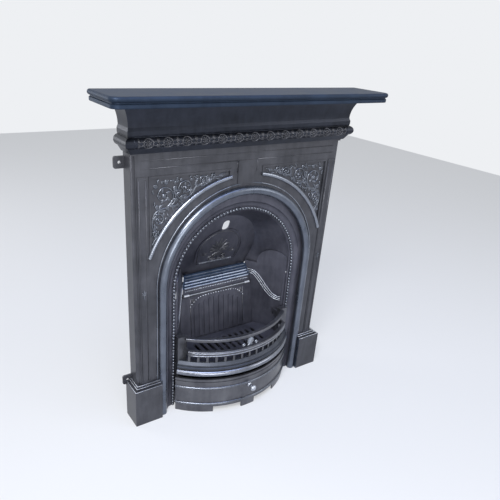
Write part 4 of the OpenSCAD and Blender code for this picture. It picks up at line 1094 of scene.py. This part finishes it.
# floor and background, with sizes in metres; floorPale is the floor's share of the backdrop's colour
stageSet = {
    "floorWide": 9.0, "floorDeep": 9.0, "floorShift": 0.6, "floorDrop": 0.001, "floorPale": 0.5,
    "floorColour": "#dcdddf", "floorRough": 0.85, "floorShine": 0.2,
    "backdropColour": "#eef0f3", "backdropStrength": 1.0, "airColour": "#c9ced6", "airStrength": 0.42,
}


# 1 for the rays that see the background: the camera's and those off metal or through glass
def backdropRays(tree):
    rays = node(tree, "ShaderNodeLightPath")
    seen = rays.outputs["Is Camera Ray"]
    for kind in ("Is Glossy Ray", "Is Transmission Ray"):
        added = node(tree, "ShaderNodeMath", {"operation": "ADD", "use_clamp": True},
                     {0: seen, 1: rays.outputs[kind]})
        seen = added.outputs[0]
    return seen


# pale matt studio floor
def floorMaterial():
    d = stageSet
    pale = bpy.data.materials.new("pale studio floor")
    pale.use_nodes = True
    tree = pale.node_tree
    plain = tree.nodes["Principled BSDF"]
    plain.inputs["Base Color"].default_value = srgb(d["floorColour"])
    plain.inputs["Roughness"].default_value = d["floorRough"]
    plain.inputs["Specular IOR Level"].default_value = d["floorShine"]
    # the floor looks a little paler than it lights, so that it fades into the backdrop
    share = node(tree, "ShaderNodeMath", {"operation": "MULTIPLY", 1: d["floorPale"]}, {
        0: backdropRays(tree),
    })
    glow = node(tree, "ShaderNodeEmission", {
        "Color": srgb(d["backdropColour"]), "Strength": d["backdropStrength"],
    })
    mixed = node(tree, "ShaderNodeMixShader", links={
        0: share.outputs[0], 1: plain.outputs[0], 2: glow.outputs[0],
    })
    tree.links.new(mixed.outputs[0], tree.nodes["Material Output"].inputs["Surface"])
    return pale


def makeFloor():
    halfWide, halfDeep = stageSet["floorWide"] / 2, stageSet["floorDeep"] / 2
    near, far = stageSet["floorShift"] - halfDeep, stageSet["floorShift"] + halfDeep
    mesh = bpy.data.meshes.new("floor")
    corners = [(-halfWide, near), (halfWide, near), (halfWide, far), (-halfWide, far)]
    mesh.from_pydata([(x, y, -stageSet["floorDrop"]) for x, y in corners], [], [(0, 1, 2, 3)])
    floor = bpy.data.objects.new("floor", mesh)
    bpy.context.scene.collection.objects.link(floor)
    mesh.materials.append(floorMaterial())
    return floor


makeFloor()


# soft even light from the air, and the pale backdrop for the rays that see it
def makeWorld():
    d = stageSet
    world = bpy.data.worlds.new("soft studio")
    bpy.context.scene.world = world
    world.use_nodes = True
    tree = world.node_tree
    tree.nodes.clear()
    air = node(tree, "ShaderNodeBackground", {"Color": srgb(d["airColour"]), "Strength": d["airStrength"]})
    backdrop = node(tree, "ShaderNodeBackground", {
        "Color": srgb(d["backdropColour"]), "Strength": d["backdropStrength"],
    })
    mixed = node(tree, "ShaderNodeMixShader", links={
        0: backdropRays(tree), 1: air.outputs[0], 2: backdrop.outputs[0],
    })
    node(tree, "ShaderNodeOutputWorld", links={"Surface": mixed.outputs[0]})


makeWorld()


# lamp with its place and aim in metres, its size, and its power in watts
def areaLight(name, where, aim, wide, high, power, code="#ffffff"):
    data = bpy.data.lights.new(name, "AREA")
    data.shape = "RECTANGLE"
    data.size, data.size_y = wide, high
    data.energy = power
    data.color = srgb(code)[:3]
    lamp = bpy.data.objects.new(name, data)
    lamp.location = where
    lamp.rotation_euler = (Vector(aim) - Vector(where)).to_track_quat("-Z", "Y").to_euler()
    bpy.context.scene.collection.objects.link(lamp)


areaLight("key over the left shoulder", (-1.6, -1.5, 2.8), (0, 0, 0.6), 1.0, 1.0, 90)
areaLight("low fill beside the camera", (-1.0, -2.8, 1.0), (0, 0, 0.45), 1.6, 1.2, 34)
areaLight("soft right", (2.4, -2.2, 1.8), (0, 0, 0.5), 1.4, 1.6, 18)
areaLight("soft light behind", (-2.4, 2.6, 1.3), (0, 0.3, 0.4), 1.4, 1.4, 34)
areaLight("soft ceiling", (0, -0.9, 3.2), (0, -0.3, 0), 2.6, 1.6, 40, "#b0c7ff")


# camera fitted to the photograph: lens, shift, place in metres and the directions of its own axes
photograph = {
    "sensor": 36, "lens": 36.41, "shift": (0.0392, 0.0764), "place": (-0.9125, -1.2761, 1.2197),
    "right": (0.8355, -0.5462, 0.0605), "up": (0.2047, 0.4115, 0.8882), "ahead": (0.5100, 0.7297, -0.4556),
}


def makeCamera():
    d = photograph
    data = bpy.data.cameras.new("photograph")
    data.sensor_width = d["sensor"]
    data.lens = d["lens"]
    data.shift_x, data.shift_y = d["shift"]
    camera = bpy.data.objects.new("photograph", data)
    turn = Matrix((Vector(d["right"]), Vector(d["up"]), -Vector(d["ahead"]))).transposed().to_4x4()
    camera.matrix_world = Matrix.Translation(d["place"]) @ turn
    bpy.context.scene.collection.objects.link(camera)
    bpy.context.scene.camera = camera


makeCamera()
bpy.context.scene.view_settings.view_transform = "Standard"
print("stage set")
